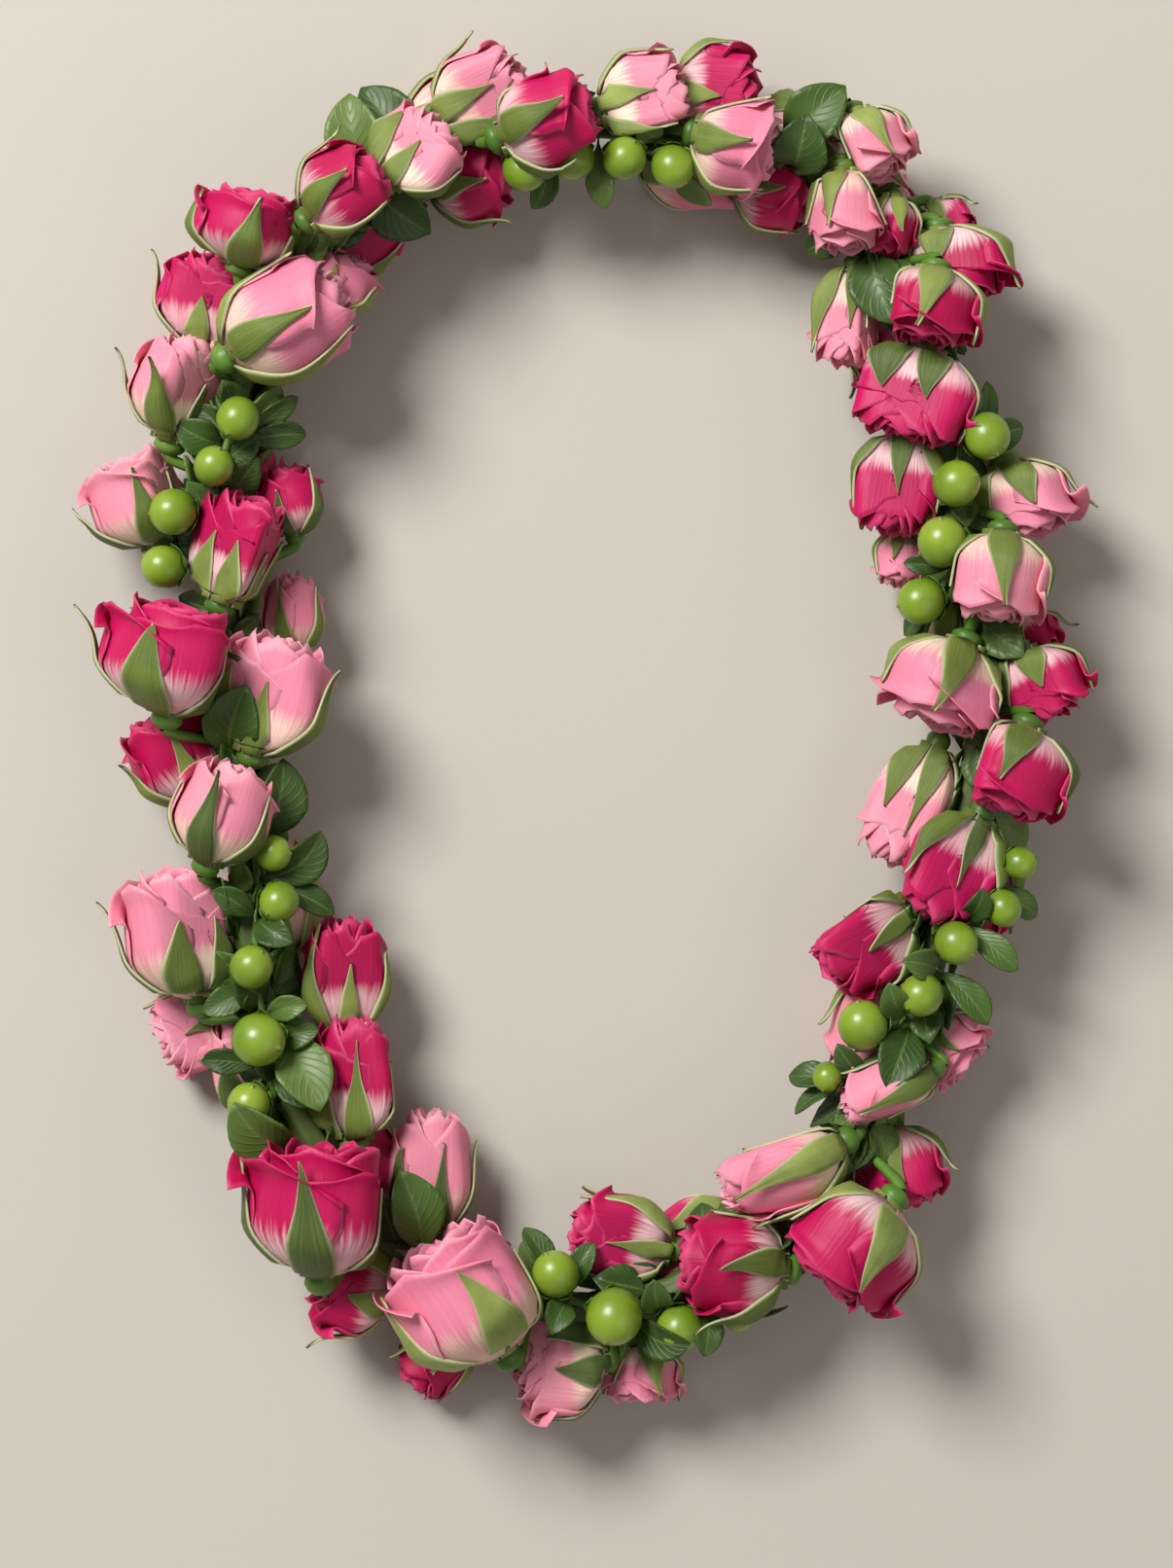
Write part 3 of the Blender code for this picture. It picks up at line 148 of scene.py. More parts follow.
# The hypericum
TWIG_RADIUS = 1.1
TWIG_CLEAR = 0.15
TWIG_OFFSET = SLEEVE_RADIUS + GAP + TWIG_CLEAR + TWIG_RADIUS
TWIG_STEP = 0.5
TWIG_TONE = 0.4
BERRY_LIFT = 0.8
LEAF_HALF = 0.36
LEAF_TIP = 0.5
LEAF_WAY = (0.45, 0.45, 1.0)
LEAF_REACH = 17.0
LEAF_BACK = 0.45
LEAF_SINK = 0.4
LEAF_SIZES = (1.0, 0.8, 0.62)
LEAF_LIFTS = (0.0, 2.0, 4.0, -3.0, 6.0, -6.0, 9.0, 12.0)
LEAF_TURNS = (0, 35, -35, 75, -75, 120, -120, 180)

# Leaves that stand on the sleeve where nothing covers it or the room beside it
FILLER_SHARES = (0.25, 0.75)
FILLER_SIDES = (0.0, 8.0, -8.0, 14.0, -14.0)
FILLER_LIFTS = (13.0, 10.0, 16.0, 7.0, 19.0, 4.0)
FILLER_LENGTHS = (24.0, 20.0, 16.0, 13.0)
FILLER_TURNS = (0, 30, -30, 65, -65, 100, -100, 180)
FILLER_SPREAD = 0.4

# How the fine pieces are pressed, and what they keep clear of
CEILING = 67.5
FLOOR_CLEAR = 0.05
SIDE_ROOM = 4.0
LEAST_ROOM = 0.42
LEAST_REACH = 1.0
PRESS_FROM = 0.85
PETAL_CLEAR = -1.1
SEPAL_CLEAR = -2.1
ALONG_WALL = 1e-4
FAR = 1e6
TINY = 1e-9
SAME_PLACE = 0.05
GREEN_SEED = 100
SPRIG_SEED = 200
SLOTS = {"hot_petals": "hot_pink_petals", "light_petals": "light_pink_petals"}

# The outline of a fine bud, in shares of its radius, and its lip as (closed bud, open bud)
FOOT_WIDTH = 0.42
BODY_WIDTH = 0.58
CLOSING = 1.6
CLOSING_MOST = 1.3
OUTER_LIP = (0.50, 1.04)

# A petal: degrees, and shares of its half width, of its length and of the bud's radius
PETAL_THICK = 0.35
ROW_CROWDING = 0.85
CROWN = (0.16, 0.26)
CROWN_EDGE = 2.4
CROWN_RISE = 1.5
CUSP = 0.045
CUSP_WIDTH = 0.16
CUSP_FROM = 0.8
WIDENS_TO = 0.6
PETAL_LEAN = 5
PETAL_FOOT = 0.7
PETAL_FOOT_HEIGHT = 0.12
LAP = 1.1
LAP_FOOT = 0.4
LAP_MORE = 0.6
ROLLS_FROM = 0.70
ROLL_SIZES = (0.7, 1.3)
ROLL_MIDDLE = 0.55
ROLL_MORE = 0.45
ROLL_SIDE = (-0.95, -0.2)
ROLL_DROP = 0.55
RUFFLE = 0.013
RUFFLES = (3.5, 6.5)
FINE_RUFFLE = (0.5, 2.3, 9.0)
UPWARD_RUFFLE = (1.7, 5.0)
WAVER = 0.02
WAVER_WAYS = (3.0, 2.2, 3.0)
TONE_SWAY = 0.18

# The rings of petals from the outer one to the heart: how many, the range of a random turn, a set turn,
# each petal's own wander, half its angle, where it starts and how its top sways; then its radius, top,
# lip and curl, each as (closed bud, open bud); then the rows and columns of its grid
RINGS = (
    (5, 0, 36, 6, 58, 0.0, (-0.03, 0.03), (1.02, 1.02), (0.98, 0.93), OUTER_LIP, (0.12, 0.34), 14, 13),
    (5, 0, 0, 8, 54, 0.42, (-0.03, 0.02), (0.84, 0.80), (1.02, 0.99), (0.46, 0.88), (0.05, 0.15), 9, 9),
    (4, 120, 0, 8, 60, 0.5, (-0.02, 0.02), (0.62, 0.56), (1.03, 0.97), (0.42, 0.82), (0.03, 0.10), 8, 8),
    (3, 120, 0, 0, 76, 0.5, None, (0.40, 0.33), (1.02, 0.93), (0.42, 0.8), (0.03, 0.03), 7, 8),
    (1, 0, 40, 0, 170, 0.5, None, (0.16, 0.16), (1.0, 0.9), (0.5, 0.5), (0.0, 0.0), 5, 9),
)

# Sepals, hips, stems and the sleeve with its small leaves
SEPAL_GRID = (17, 7)
SEPAL_THICK = 0.7
SEPAL_HALF = 27
SEPAL_LIFT = 1.2
SEPAL_SEAT = 0.03
SEPAL_BULGE = 0.8
SEPAL_TURN = 3
SEPAL_SWERVE = 12
SEPAL_TONE_SWAY = 0.2
COLLAR_SHARE = 1.02
HIP_COLLAR = 1.08
HIP_LIFT = 0.5
SEPAL_RIPPLE = 0.25
SEPAL_RIPPLES = 5
SEPAL_SHORTENS = 0.08
SEPAL_LENGTHS = (0.72, 1.02)
SEPALS_THAT_HUG = 0.45
SEPAL_HUGS = (0.0, 0.12)
SEPAL_BENDS = (0.25, 0.6)
SEPAL_PLACES = (0.0, 0.06, 0.20, 0.40, 0.60, 0.78, 0.90, 1.0)
SEPAL_WIDTHS = (1.15, 1.12, 0.84, 0.54, 0.31, 0.16, 0.08, 0.02)
HIP_PLACES = (-1.25, -1.0, -0.7, -0.35, 0.0, 0.35)
HIP_WIDTHS = (0.82, 1.04, 1.0, 0.9)
HIP_RIM = 0.42
HIP_SIDES = 12
STEM_BEND = 2.5
STEM_STEPS = 7
STEM_TAPER = (STEM_RADIUS * 0.75, STEM_RADIUS * 1.1)
STEM_INSIDE = 1.1
STEM_RISE = 0.35
STEM_SIDES = 8
STEM_SHADE = 0.05
STEEP = 0.9
SLEEVE_STEPS = 6
SLEEVE_SHARE = 0.92
CAP_DEPTH = 0.02
CAP_RADII = (0.1, SLEEVE_RADIUS * 0.9)
SLEEVE_SIDES = 24
LOBES = 6
LOBE_HEIGHT = 0.10
LOBE_TWIST = 0.35
SCALES = 60
SCALE_LENGTH = 17.0
SCALE_SIZES = (0.6, 1.1)
SCALE_PLACES = (0.04, 0.96)
SCALE_SWING = 0.9
SCALE_SEAT = 0.8
SCALE_GRID = (7, 5)
SCALE_RISE = (0.1, 0.7)

# Fine berries, the cups of sepals at their feet, and leaves
BERRY_TILT = 1.6
BERRY_LENGTH = 1.04
BERRY_ANGLES = (180, 168, 150, 130, 110, 90, 70, 52, 36, 22, 12, 5, 2, 0)
BERRY_TIP = ((1.06, 0.085), (1.12, 0.06), (1.14, 0.0))
BERRY_SPAN = 2.2
BERRY_SHARE = 0.97
STALK_END = 0.95
STALK_BENDS = (0.3, 0.5)
BERRY_SIDES = 24
STALK_RADII = (1.0, 0.9, 0.85, 0.9, 1.2)
CUP_SEPALS = 5
CUP_FOOT = 172
CUP_REACH = 62
CUP_HALF = 34
CUP_SHARES = (0.25, 0.75)
CUP_ROUNDING = 0.8
CUP_SIZES = (1.05, 0.10)
CUP_GRID = (6, 5)
LEAF_SHEET = 0.5
LEAF_BEND = 0.1
LEAF_FOLD = 0.10
LEAF_FOLDING = 1.5
LEAF_DISH = 0.05
LEAF_RIPPLE = 0.25
LEAF_RIPPLES = (14, 5)
LEAF_GRID = (17, 11)
LEAF_PLACES = (0.0, 0.15, 0.30, 0.45, 0.62, 0.78, 0.90, 0.97, 1.0)
LEAF_WIDTHS = (0.07, 0.09, 0.45, 0.82, 1.0, 0.86, 0.55, 0.26, 0.04)

# Finishes: what is the same all over, and the colours, some of them as (place in a ramp, colour); also how far
# a petal's colour runs down its veins at the root, and how close a leaf's side veins are
PETAL_SURFACE = {
    "Roughness": 0.5,
    "Specular IOR Level": 0.3,
    "Subsurface Weight": 0.12,
    "Subsurface Radius": (1.0, 0.35, 0.3),
    "Subsurface Scale": 0.002,
}
# Petal colours: the rim colour is partly the petal's own paler margin and partly a painted highlight on its
# edges and lip
HOT_PETAL = {
    "root": (0.90, 0.66, 0.64),
    "body": (0.50, 0.002, 0.080),
    "deep": (0.26, 0.001, 0.035),
    "rim_and_highlight": (0.78, 0.10, 0.26),
    "tones": ((0.30, 0.001, 0.035), (0.66, 0.010, 0.14)),
}
LIGHT_PETAL = {
    "root": (0.90, 0.78, 0.56),
    "body": (0.82, 0.25, 0.35),
    "deep": (0.66, 0.13, 0.22),
    "rim_and_highlight": (0.92, 0.48, 0.54),
    "tones": ((0.70, 0.14, 0.27), (0.90, 0.40, 0.40)),
}
ROOT_FLAMES = 0.36
SEPAL_SURFACE = {"Roughness": 0.5, "Specular IOR Level": 0.35}
SEPAL_TONES = ((0.0, (0.04, 0.07, 0.008)), (0.3, (0.13, 0.18, 0.022)), (1.0, (0.33, 0.39, 0.09)))
SEPAL_SHADOW = (0.05, 0.085, 0.015)
SEPAL_RIB = (0.25, 0.31, 0.09)
SEPAL_BROWN = (0.18, 0.14, 0.05)
SEPAL_MARGIN = (0.58, 0.58, 0.36)
WAXY_SURFACE = {"Roughness": 0.42, "Specular IOR Level": 0.4}
STEM_TONES = ((0.0, (0.06, 0.14, 0.015)), (0.5, (0.10, 0.22, 0.025)), (1.0, (0.16, 0.28, 0.045)))
STEM_SHADOW = (0.05, 0.11, 0.015)
LEAF_TONES = ((0.0, (0.018, 0.050, 0.006)), (0.6, (0.040, 0.092, 0.010)), (1.0, (0.14, 0.22, 0.045)))
LEAF_BLOOM = (0.075, 0.13, 0.026)
LEAF_RIB = (0.14, 0.22, 0.06)
LEAF_VEIN = (0.09, 0.16, 0.04)
SIDE_VEINS = 62.0
BERRY_SURFACE = {
    "Roughness": 0.36,
    "Coat Weight": 0.25,
    "Coat Roughness": 0.3,
    "Subsurface Weight": 0.1,
    "Subsurface Radius": (0.6, 1.0, 0.2),
    "Subsurface Scale": 0.003,
}
BERRY_LENGTHWISE = (
    (0.0, (0.05, 0.12, 0.004)),
    (0.35, (0.13, 0.23, 0.008)),
    (0.8, (0.23, 0.35, 0.02)),
    (1.0, (0.26, 0.36, 0.04)),
)
BERRY_DEEP = (0.11, 0.22, 0.006)
BERRY_PALE = (0.28, 0.38, 0.04)
BERRY_DRY = (0.10, 0.12, 0.02)
CORD_TONES = ((0.3, (0.62, 0.58, 0.48)), (0.7, (0.84, 0.81, 0.74)))

# Floor, light and camera, in metres and watts; each lamp has a name, a place, a size and its watts
FLOOR_COLOUR = (0.525, 0.49, 0.425)
FLOOR_SIZE = 6.0
ROOM_COLOUR = (1.0, 0.97, 0.93, 1.0)
ROOM_STRENGTH = 0.27
LAMPS = (("key", (-1.15, 1.25, 2.0), 1.1, 86.0), ("fill", (0.9, -0.6, 1.4), 1.2, 3.0))
SENSOR = 36.0
LENS = 110.0
CAMERA_HEIGHT = 1.43
CAMERA_SIGHT = 20.0


# Middle line of the loop, from the nape round the wearer's right side
LOOP = (
    (-1, 194), (-35, 190), (-62, 178), (-86, 157), (-99, 130), (-105, 101), (-108, 73), (-106, 44),
    (-103, 16), (-101, -13), (-99, -41), (-93, -70), (-85, -95), (-68, -124), (-44, -144), (-15, -153),
    (13, -152), (40, -141), (66, -122), (83, -95), (96, -67), (105, -38), (112, -10), (116, 19),
    (115, 47), (110, 76), (104, 104), (97, 133), (86, 158), (70, 178), (38, 190),
)

# Colour, base, tip, width, how far open (0 to 1) and height of the middle of each bud
HOT = "hot_petals"
LIGHT = "light_petals"
BUDS = (
    (LIGHT, (-70, 180), (-64, 190), 10, 0.3, 26),
    (HOT, (-79, 163), (-59, 177), 23, 0.3, 36),
    (HOT, (-100, 151), (-95, 172), 30, 0.6, 41),
    (HOT, (-112, 129), (-107, 155), 27, 0.4, 28),
    (LIGHT, (-103, 125), (-72, 144), 30, 0.3, 40),
    (LIGHT, (-76, 141), (-69, 155), 19, 0.4, 24),
    (LIGHT, (-121, 101), (-113, 129), 27, 0.3, 28),
    (LIGHT, (-125, 71), (-135, 96), 27, 0.6, 26),
    (HOT, (-86, 74), (-89, 93), 17, 0.3, 20),
    (HOT, (-109, 54), (-98, 83), 30, 0.6, 38),
    (HOT, (-119, 24), (-113, 55), 38, 0.8, 38),
    (LIGHT, (-86, 39), (-87, 61), 15, 0.1, 20),
    (LIGHT, (-97, 10), (-89, 42), 30, 0.25, 38),
    (HOT, (-114, -4), (-127, 20), 23, 0.5, 26),
    (LIGHT, (-110, -22), (-101, 5), 24, 0.3, 38),
    (LIGHT, (-113, -62), (-118, -25), 33, 0.7, 32),
    (LIGHT, (-105, -68), (-126, -77), 21, 0.5, 18),
    (HOT, (-71, -72), (-71, -40), 21, 0.2, 30),
    (HOT, (-74, -106), (-74, -73), 26, 0.15, 34),
    (HOT, (-76, -141), (-74, -102), 38, 1.0, 38),
    (LIGHT, (-47, -133), (-47, -97), 21, 0.35, 28),
    (HOT, (-56, -148), (-79, -142), 27, 0.6, 22),
    (LIGHT, (-24, -164), (-45, -132), 40, 0.7, 40),
    (HOT, (-38, -162), (-51, -178), 16, 0.4, 14),
    (LIGHT, (5, -168), (-21, -169), 28, 0.7, 27),
    (LIGHT, (16, -165), (15, -182), 20, 0.8, 18),
    (HOT, (24, -136), (-4, -130), 21, 0.4, 28),
    (HOT, (58, -141), (28, -139), 27, 0.45, 36),
    (HOT, (87, -121), (67, -144), 33, 0.6, 36),
    (LIGHT, (73, -104), (40, -117), 24, 0.15, 40),
    (HOT, (87, -101), (93, -124), 24, 0.5, 28),
    (LIGHT, (100, -84), (76, -97), 18, 0.3, 36),
    (LIGHT, (100, -72), (113, -83), 19, 0.8, 20),
    (HOT, (95, -37), (70, -53), 26, 0.4, 34),
    (HOT, (114, -10), (99, -38), 24, 0.15, 38),
    (LIGHT, (102, 10), (88, -22), 21, 0.3, 28),
    (HOT, (127, 16), (119, -8), 31, 0.5, 38),
    (LIGHT, (111, 41), (102, 17), 33, 0.6, 38),
    (HOT, (126, 38), (135, 18), 27, 0.6, 30),
    (HOT, (125, 47), (131, 36), 21, 0.5, 22),
    (LIGHT, (120, 72), (117, 47), 26, 0.55, 36),
    (LIGHT, (123, 93), (130, 72), 26, 0.9, 28),
    (LIGHT, (93, 74), (92, 59), 12, 0.4, 18),
    (HOT, (93, 102), (89, 74), 22, 0.35, 34),
    (HOT, (99, 127), (91, 101), 32, 0.5, 38),
    (LIGHT, (78, 150), (76, 123), 18, 0.5, 32),
    (HOT, (101, 148), (97, 127), 27, 0.7, 38),
    (HOT, (103, 161), (106, 139), 34, 0.9, 30),
    (HOT, (102, 170), (110, 160), 13, 0.4, 24),
    (LIGHT, (78, 195), (86, 176), 21, 0.6, 33),
    (LIGHT, (75, 178), (76, 155), 23, 0.7, 34),
    (HOT, (89, 171), (86, 154), 14, 0.4, 34),
    (LIGHT, (-58, 176), (-42, 192), 23, 0.4, 36),
    (HOT, (-46, 176), (-24, 182), 24, 0.4, 22),
    (LIGHT, (-42, 189), (-17, 201), 24, 0.4, 34),
    (HOT, (-24, 186), (2, 195), 27, 0.5, 40),
    (LIGHT, (5, 196), (29, 201), 24, 0.4, 34),
    (HOT, (25, 198), (49, 196), 26, 0.5, 34),
    (LIGHT, (32, 189), (55, 184), 26, 0.5, 40),
    (HOT, (49, 193), (69, 185), 23, 0.4, 24),
    (HOT, (45, 178), (66, 173), 21, 0.4, 22),
)

# Each sprig of hypericum: its berries as place, height and diameter, then its leaves as place, height,
# length and heading in degrees
SPRIGS = (
    (
        ((-101, 106, 42, 13), (-108, 92, 43, 12), (-120, 79, 40, 14), (-123, 63, 38, 13)),
        ((-109, 107, 38, 12, 150), (-92, 110, 40, 14, 60), (-83, 113, 36, 10, 20), (-84, 103, 34, 12, -10)),
    ),
    (
        ((-91, -20, 40, 11), (-89, -34, 42, 12), (-97, -53, 43, 13), (-95, -74, 44, 16), (-98, -93, 40, 13)),
        (
            (-77, -23, 40, 19, 30), (-76, -35, 36, 13, -20), (-91, -43, 46, 14, 10), (-103, -33, 42, 12, 160),
            (-106, -64, 40, 13, 200), (-86, -64, 44, 11, 0), (-107, -80, 38, 12, 190),
            (-84, -90, 41, 13, -25), (-104, -102, 36, 13, 225), (-95, -119, 31, 14, 270),
        ),
    ),
    (
        ((-9, -142, 42, 14), (8, -154, 43, 17), (27, -158, 40, 14), (44, -155, 36, 9)),
        (
            (-8, -153, 46, 13, 250), (-1, -137, 44, 11, 90), (20, -150, 46, 14, 60), (36, -160, 38, 13, 290),
            (54, -157, 34, 15, 330), (-15, -133, 40, 12, 110),
        ),
    ),
    (
        (
            (126, -23, 38, 10), (121, -36, 40, 11), (107, -46, 43, 13), (97, -61, 43, 13),
            (80, -70, 42, 15), (70, -85, 38, 9),
        ),
        (
            (89, -64, 46, 14, 140), (114, -64, 40, 14, 300), (98, -52, 47, 14, 170), (114, -36, 46, 12, 120),
            (130, -37, 36, 12, 340), (121, -50, 42, 13, 320), (61, -85, 38, 13, 160), (64, -92, 34, 11, 220),
            (75, -80, 42, 11, 120),
        ),
    ),
    (
        ((116, 101, 42, 14), (107, 87, 43, 14), (103, 70, 43, 15), (97, 53, 41, 14)),
        (
            (92, 42, 36, 13, 200), (90, 34, 32, 11, 230), (96, 64, 44, 11, 180), (113, 90, 46, 12, 0),
            (113, 119, 40, 13, 80), (119, 113, 38, 12, 30), (128, 107, 34, 13, 10),
        ),
    ),
    (
        ((-18, 178, 41, 13), (-4, 181, 43, 13), (11, 181, 43, 13), (25, 179, 41, 13)),
        ((-12, 171, 36, 12, 240), (4, 172, 38, 12, 280), (18, 189, 42, 12, 60), (32, 172, 36, 12, 300)),
    ),
)


def unit(vector):
    """The vector at length one."""
    return vector / np.linalg.norm(vector)


def square_to(vector, along):
    """The part of a vector that is square to a direction, at length one."""
    return unit(vector - along * (vector @ along))


def lerp(start, end, share):
    """The value a share of the way from start to end."""
    return start + (end - start) * share


def loop_stations():
    """Points evenly spaced along a smooth closed curve through the loop's own points."""
    points = np.array([(x, y, CORD_HEIGHT) for x, y in LOOP], float)
    dense = []
    for index in range(len(points)):
        before, here, after, last = (points[(index + step) % len(points)] for step in (-1, 0, 1, 2))
        for t in np.arange(0.0, 1.0, CURVE_STEP):
            curve = 2 * here + (after - before) * t
            curve += (2 * before - 5 * here + 4 * after - last) * t**2
            curve += (3 * here - before - 3 * after + last) * t**3
            dense.append(curve / 2)
    dense = np.array(dense + dense[:1])
    travelled = np.concatenate(([0.0], np.cumsum(np.linalg.norm(np.diff(dense, axis=0), axis=1))))
    wanted = np.arange(STATIONS) * travelled[-1] / STATIONS
    return np.column_stack([np.interp(wanted, travelled, dense[:, axis]) for axis in range(3)])


def closest_on_segments(a0, a1, b0, b1):
    """The nearest points of two segments, and the share of the way along the first."""
    u, v, w = a1 - a0, b1 - b0, a0 - b0
    uu, uv, vv = u @ u, u @ v, v @ v
    uw, vw = u @ w, v @ w
    det = uu * vv - uv * uv
    s = 0.5 if det < TINY else min(1.0, max(0.0, (uv * vw - vv * uw) / det))
    t = 0.0 if vv < TINY else min(1.0, max(0.0, (uv * s + vw) / vv))
    s = min(1.0, max(0.0, (uv * t - uw) / uu))
    return a0 + s * u, b0 + t * v, s


def chord_ends(stations, index):
    """Both ends of one of the loop's chords."""
    return stations[index % STATIONS], stations[(index + 1) % STATIONS]


def nearest_on_loop(point, stations):
    """The loop's nearest point, its chord's index and the chord's direction."""
    best = None
    for index in range(STATIONS):
        start, end = chord_ends(stations, index)
        along = end - start
        share = min(1.0, max(0.0, (point - start) @ along / (along @ along)))
        foot = start + share * along
        distance = np.linalg.norm(point - foot)
        if best is None or distance < best[0]:
            best = (distance, foot, index, unit(along))
    return best[1], best[2], best[3]


class Bud:
    """One rosebud: its axis, its roll, and the planes that its neighbours press on it with."""

    def __init__(self, index, colour, base, tip, width, opening, level):
        self.index = index
        self.colour = colour
        self.radius = width / 2 * SWELL
        self.opening = opening
        self.base = np.array([base[0], base[1], level - TIP_RISE])
        self.tip = np.array([tip[0], tip[1], level + TIP_RISE])
        self.whole = width < SMALL_WIDTH or level <= DEEP_LEVEL
        self.roll = random.uniform(-ROLL, ROLL)
        self.rests = False
        self.walls, self.balls = [], []

    @property
    def axis(self):
        return unit(self.tip - self.base)

    @property
    def length(self):
        return np.linalg.norm(self.tip - self.base)

    @property
    def centre(self):
        return lerp(self.base, self.tip, CENTRE_SHARE)

    @property
    def hip(self):
        return self.base - self.axis * self.length * HIP_BACK

    @property
    def hip_radius(self):
        return min(HIP_MOST, max(HIP_LEAST, self.radius * HIP_SHARE))

    def move(self, offset):
        self.base = self.base + offset
        self.tip = self.tip + offset

    def reach(self, share):
        """Rough radius a share of the way from the hip to the tip."""
        return self.body(share * (1 + HIP_BACK) - HIP_BACK)

    def body(self, t):
        """Rough radius a share of the way from the base to the tip."""
        collar, narrow = COLLAR
        if t < collar:
            return lerp(self.hip_radius, self.radius * narrow, (t + HIP_BACK) / (collar + HIP_BACK))
        if t < WIDEST:
            return lerp(self.radius * narrow, self.radius, (t - collar) / (WIDEST - collar))
        lip = self.radius * lerp(CLOSED_LIP, OPEN_LIP, self.opening)
        return lerp(self.radius, lip, (t - WIDEST) / (1 - WIDEST))

    def frame(self):
        """Two directions across the axis: the first is the one nearest to up, turned by the roll."""
        across = unit(np.cross(self.axis, UP))
        top = np.cross(across, self.axis)
        u = top * math.cos(self.roll) + across * math.sin(self.roll)
        return u, np.cross(self.axis, u)


def make_buds():
    """All the buds: those that show, and closed ones along the underside in the colours above them."""
    buds = [Bud(index, *row) for index, row in enumerate(BUDS)]
    stations = loop_stations()
    for index in range(UNDERSIDE_BUDS):
        place = (index + 0.5) * STATIONS / UNDERSIDE_BUDS
        start, end = chord_ends(stations, int(place))
        forward = -unit(end - start)
        side = np.cross(forward, UP)
        lean = UNDERSIDE_LEAN if index % 2 else -UNDERSIDE_LEAN
        offset = UNDERSIDE_DROP * (side * math.sin(lean) - UP * math.cos(lean))
        middle = (start + end) / 2 + offset
        base = middle - forward * UNDERSIDE_LENGTH / 2
        tip = middle + forward * UNDERSIDE_LENGTH / 2
        gaps = [np.linalg.norm((bud.centre - middle) * SAME_COLOUR_WAY) for bud in buds[: len(BUDS)]]
        colour = buds[int(np.argmin(gaps))].colour
        bud = Bud(len(buds), colour, base[:2], tip[:2], UNDERSIDE_WIDTH, UNDERSIDE_OPENING, middle[2])
        bud.whole = True
        buds.append(bud)
    return buds


def settle(buds, stations, berries):
    """Nudge the buds, mostly up or down, until none sits too deep in another, a berry or the sleeve."""
    homes = [bud.base for bud in buds]
    for turn in range(SETTLING + LAST_SETTLING):
        if turn < SETTLING:
            for bud, home in zip(buds, homes):
                bud.move((home - bud.base) * HOMING)
        part_neighbours(buds)
        for bud in buds:
            too_high = bud.centre[2] + SHOULDER * bud.radius - TOP
            if too_high > 0:
                bud.move((0.0, 0.0, -too_high))
            for middle, radius in berries:
                near, _, share = closest_on_segments(bud.base, bud.tip, middle, middle + POINT_SPAN)
                away = near - middle
                short = radius + BERRY_CLOSE * bud.body(share) - np.linalg.norm(away)
                if short > 0:
                    bud.move(unit(away * BERRY_WAY) * short * BERRY_PARTING)
            out_of_sleeve = SLEEVE_RADIUS + GAP + bud.hip_radius + HIP_ROOM
            beside_sleeve = SLEEVE_RADIUS + SLEEVE_CLOSE * bud.radius
            for place, need in (("base", out_of_sleeve), ("centre", beside_sleeve), ("hip", out_of_sleeve)):
                point = getattr(bud, place)
                away = point - nearest_on_loop(point, stations)[0]
                short = need - np.linalg.norm(away)
                if short > 0:
                    bud.move(unit(away) * short)


def meeting(first, second):
    """Where two buds come closest to each other, and how thick each is there."""
    a, b, s = closest_on_segments(first.hip, first.tip, second.hip, second.tip)
    _, _, t = closest_on_segments(second.hip, second.tip, first.hip, first.tip)
    return a, b, first.reach(s), second.reach(t)


def part_neighbours(buds):
    """Push apart the buds whose bodies sit too deep in each other."""
    for first in buds:
        for second in buds[first.index + 1 :]:
            if np.linalg.norm(first.centre - second.centre) > FAR_APART:
                continue
            a, b, first_reach, second_reach = meeting(first, second)
            short = SETTLED * (first_reach + second_reach) - np.linalg.norm(b - a)
            if short > 0:
                away = unit((b - a) * PARTING_WAY + UPWARD) * short * PARTING
                first.move(-away)
                second.move(away)


def rest_on_three(buds):
    """Lower three buds of the underside, a third of the way round from each other, to carry the lei."""
    for degrees in REST_ANGLES:
        heading = np.array([math.cos(math.radians(degrees)), math.sin(math.radians(degrees))])

        def turned_away(bud):
            return -unit(bud.centre[:2] - REST_MIDDLE) @ heading

        bud = min(buds[len(BUDS) :], key=turned_away)
        bud.rests = True
        bud.move((0.0, 0.0, bud.radius - REST_DEPTH - bud.centre[2]))


def raise_walls(buds, hard_parts):
    """Give each bud the planes that keep it clear of its neighbours, the sleeve, stems and berries."""
    for bud in buds:
        bud.walls = [] if bud.rests else [(-UP, -REST_LIFT, "ground")]
    for first in buds:
        for second in buds[first.index + 1 :]:
            a, b, first_reach, second_reach = meeting(first, second)
            distance = np.linalg.norm(b - a)
            if distance > WALL_REACH * (first.radius + second.radius) + WALL_ROOM:
                continue
            normal = (b - a) / distance
            share = first_reach / (first_reach + second_reach)
            level = normal @ lerp(a, b, min(WALL_SHARES[1], max(WALL_SHARES[0], share)))
            first.walls.append((normal, level, "pair"))
            second.walls.append((-normal, -level, "pair"))
    for bud in buds:
        bud.balls = []
        for owner, start, end, radius in hard_parts:
            if owner == bud.index:
                continue
            a, b, _ = closest_on_segments(bud.base, bud.tip, start, end)
            distance = np.linalg.norm(b - a)
            if distance > WALL_REACH * bud.radius + radius + WALL_ROOM:
                continue
            if isinstance(owner, str):
                count = 1 + round(np.linalg.norm(end - start) / BALL_STEP)
                for share in np.linspace(0, 1, count, endpoint=count == 1):
                    bud.balls.append((lerp(start, end, share), radius))
                continue
            normal = (b - a) / distance
            bud.walls.append((normal, normal @ a + max(distance - radius, LEAST_LEVEL), "hard"))


def room_at_ends(foot, chord, along, stations):
    """How far a stem's foot moves along its chord to stay clear of the ends of a length of sleeve."""
    start, end = chord_ends(stations, chord)
    from_start = (foot - start) @ along
    to_end = (end - foot) @ along
    if chord % CHORDS_IN_LENGTH == 0 and from_start < STEM_ROOM:
        return STEM_ROOM - from_start
    if chord % CHORDS_IN_LENGTH == CHORDS_IN_LENGTH - 1 and to_end < STEM_ROOM:
        return to_end - STEM_ROOM
    return 0.0


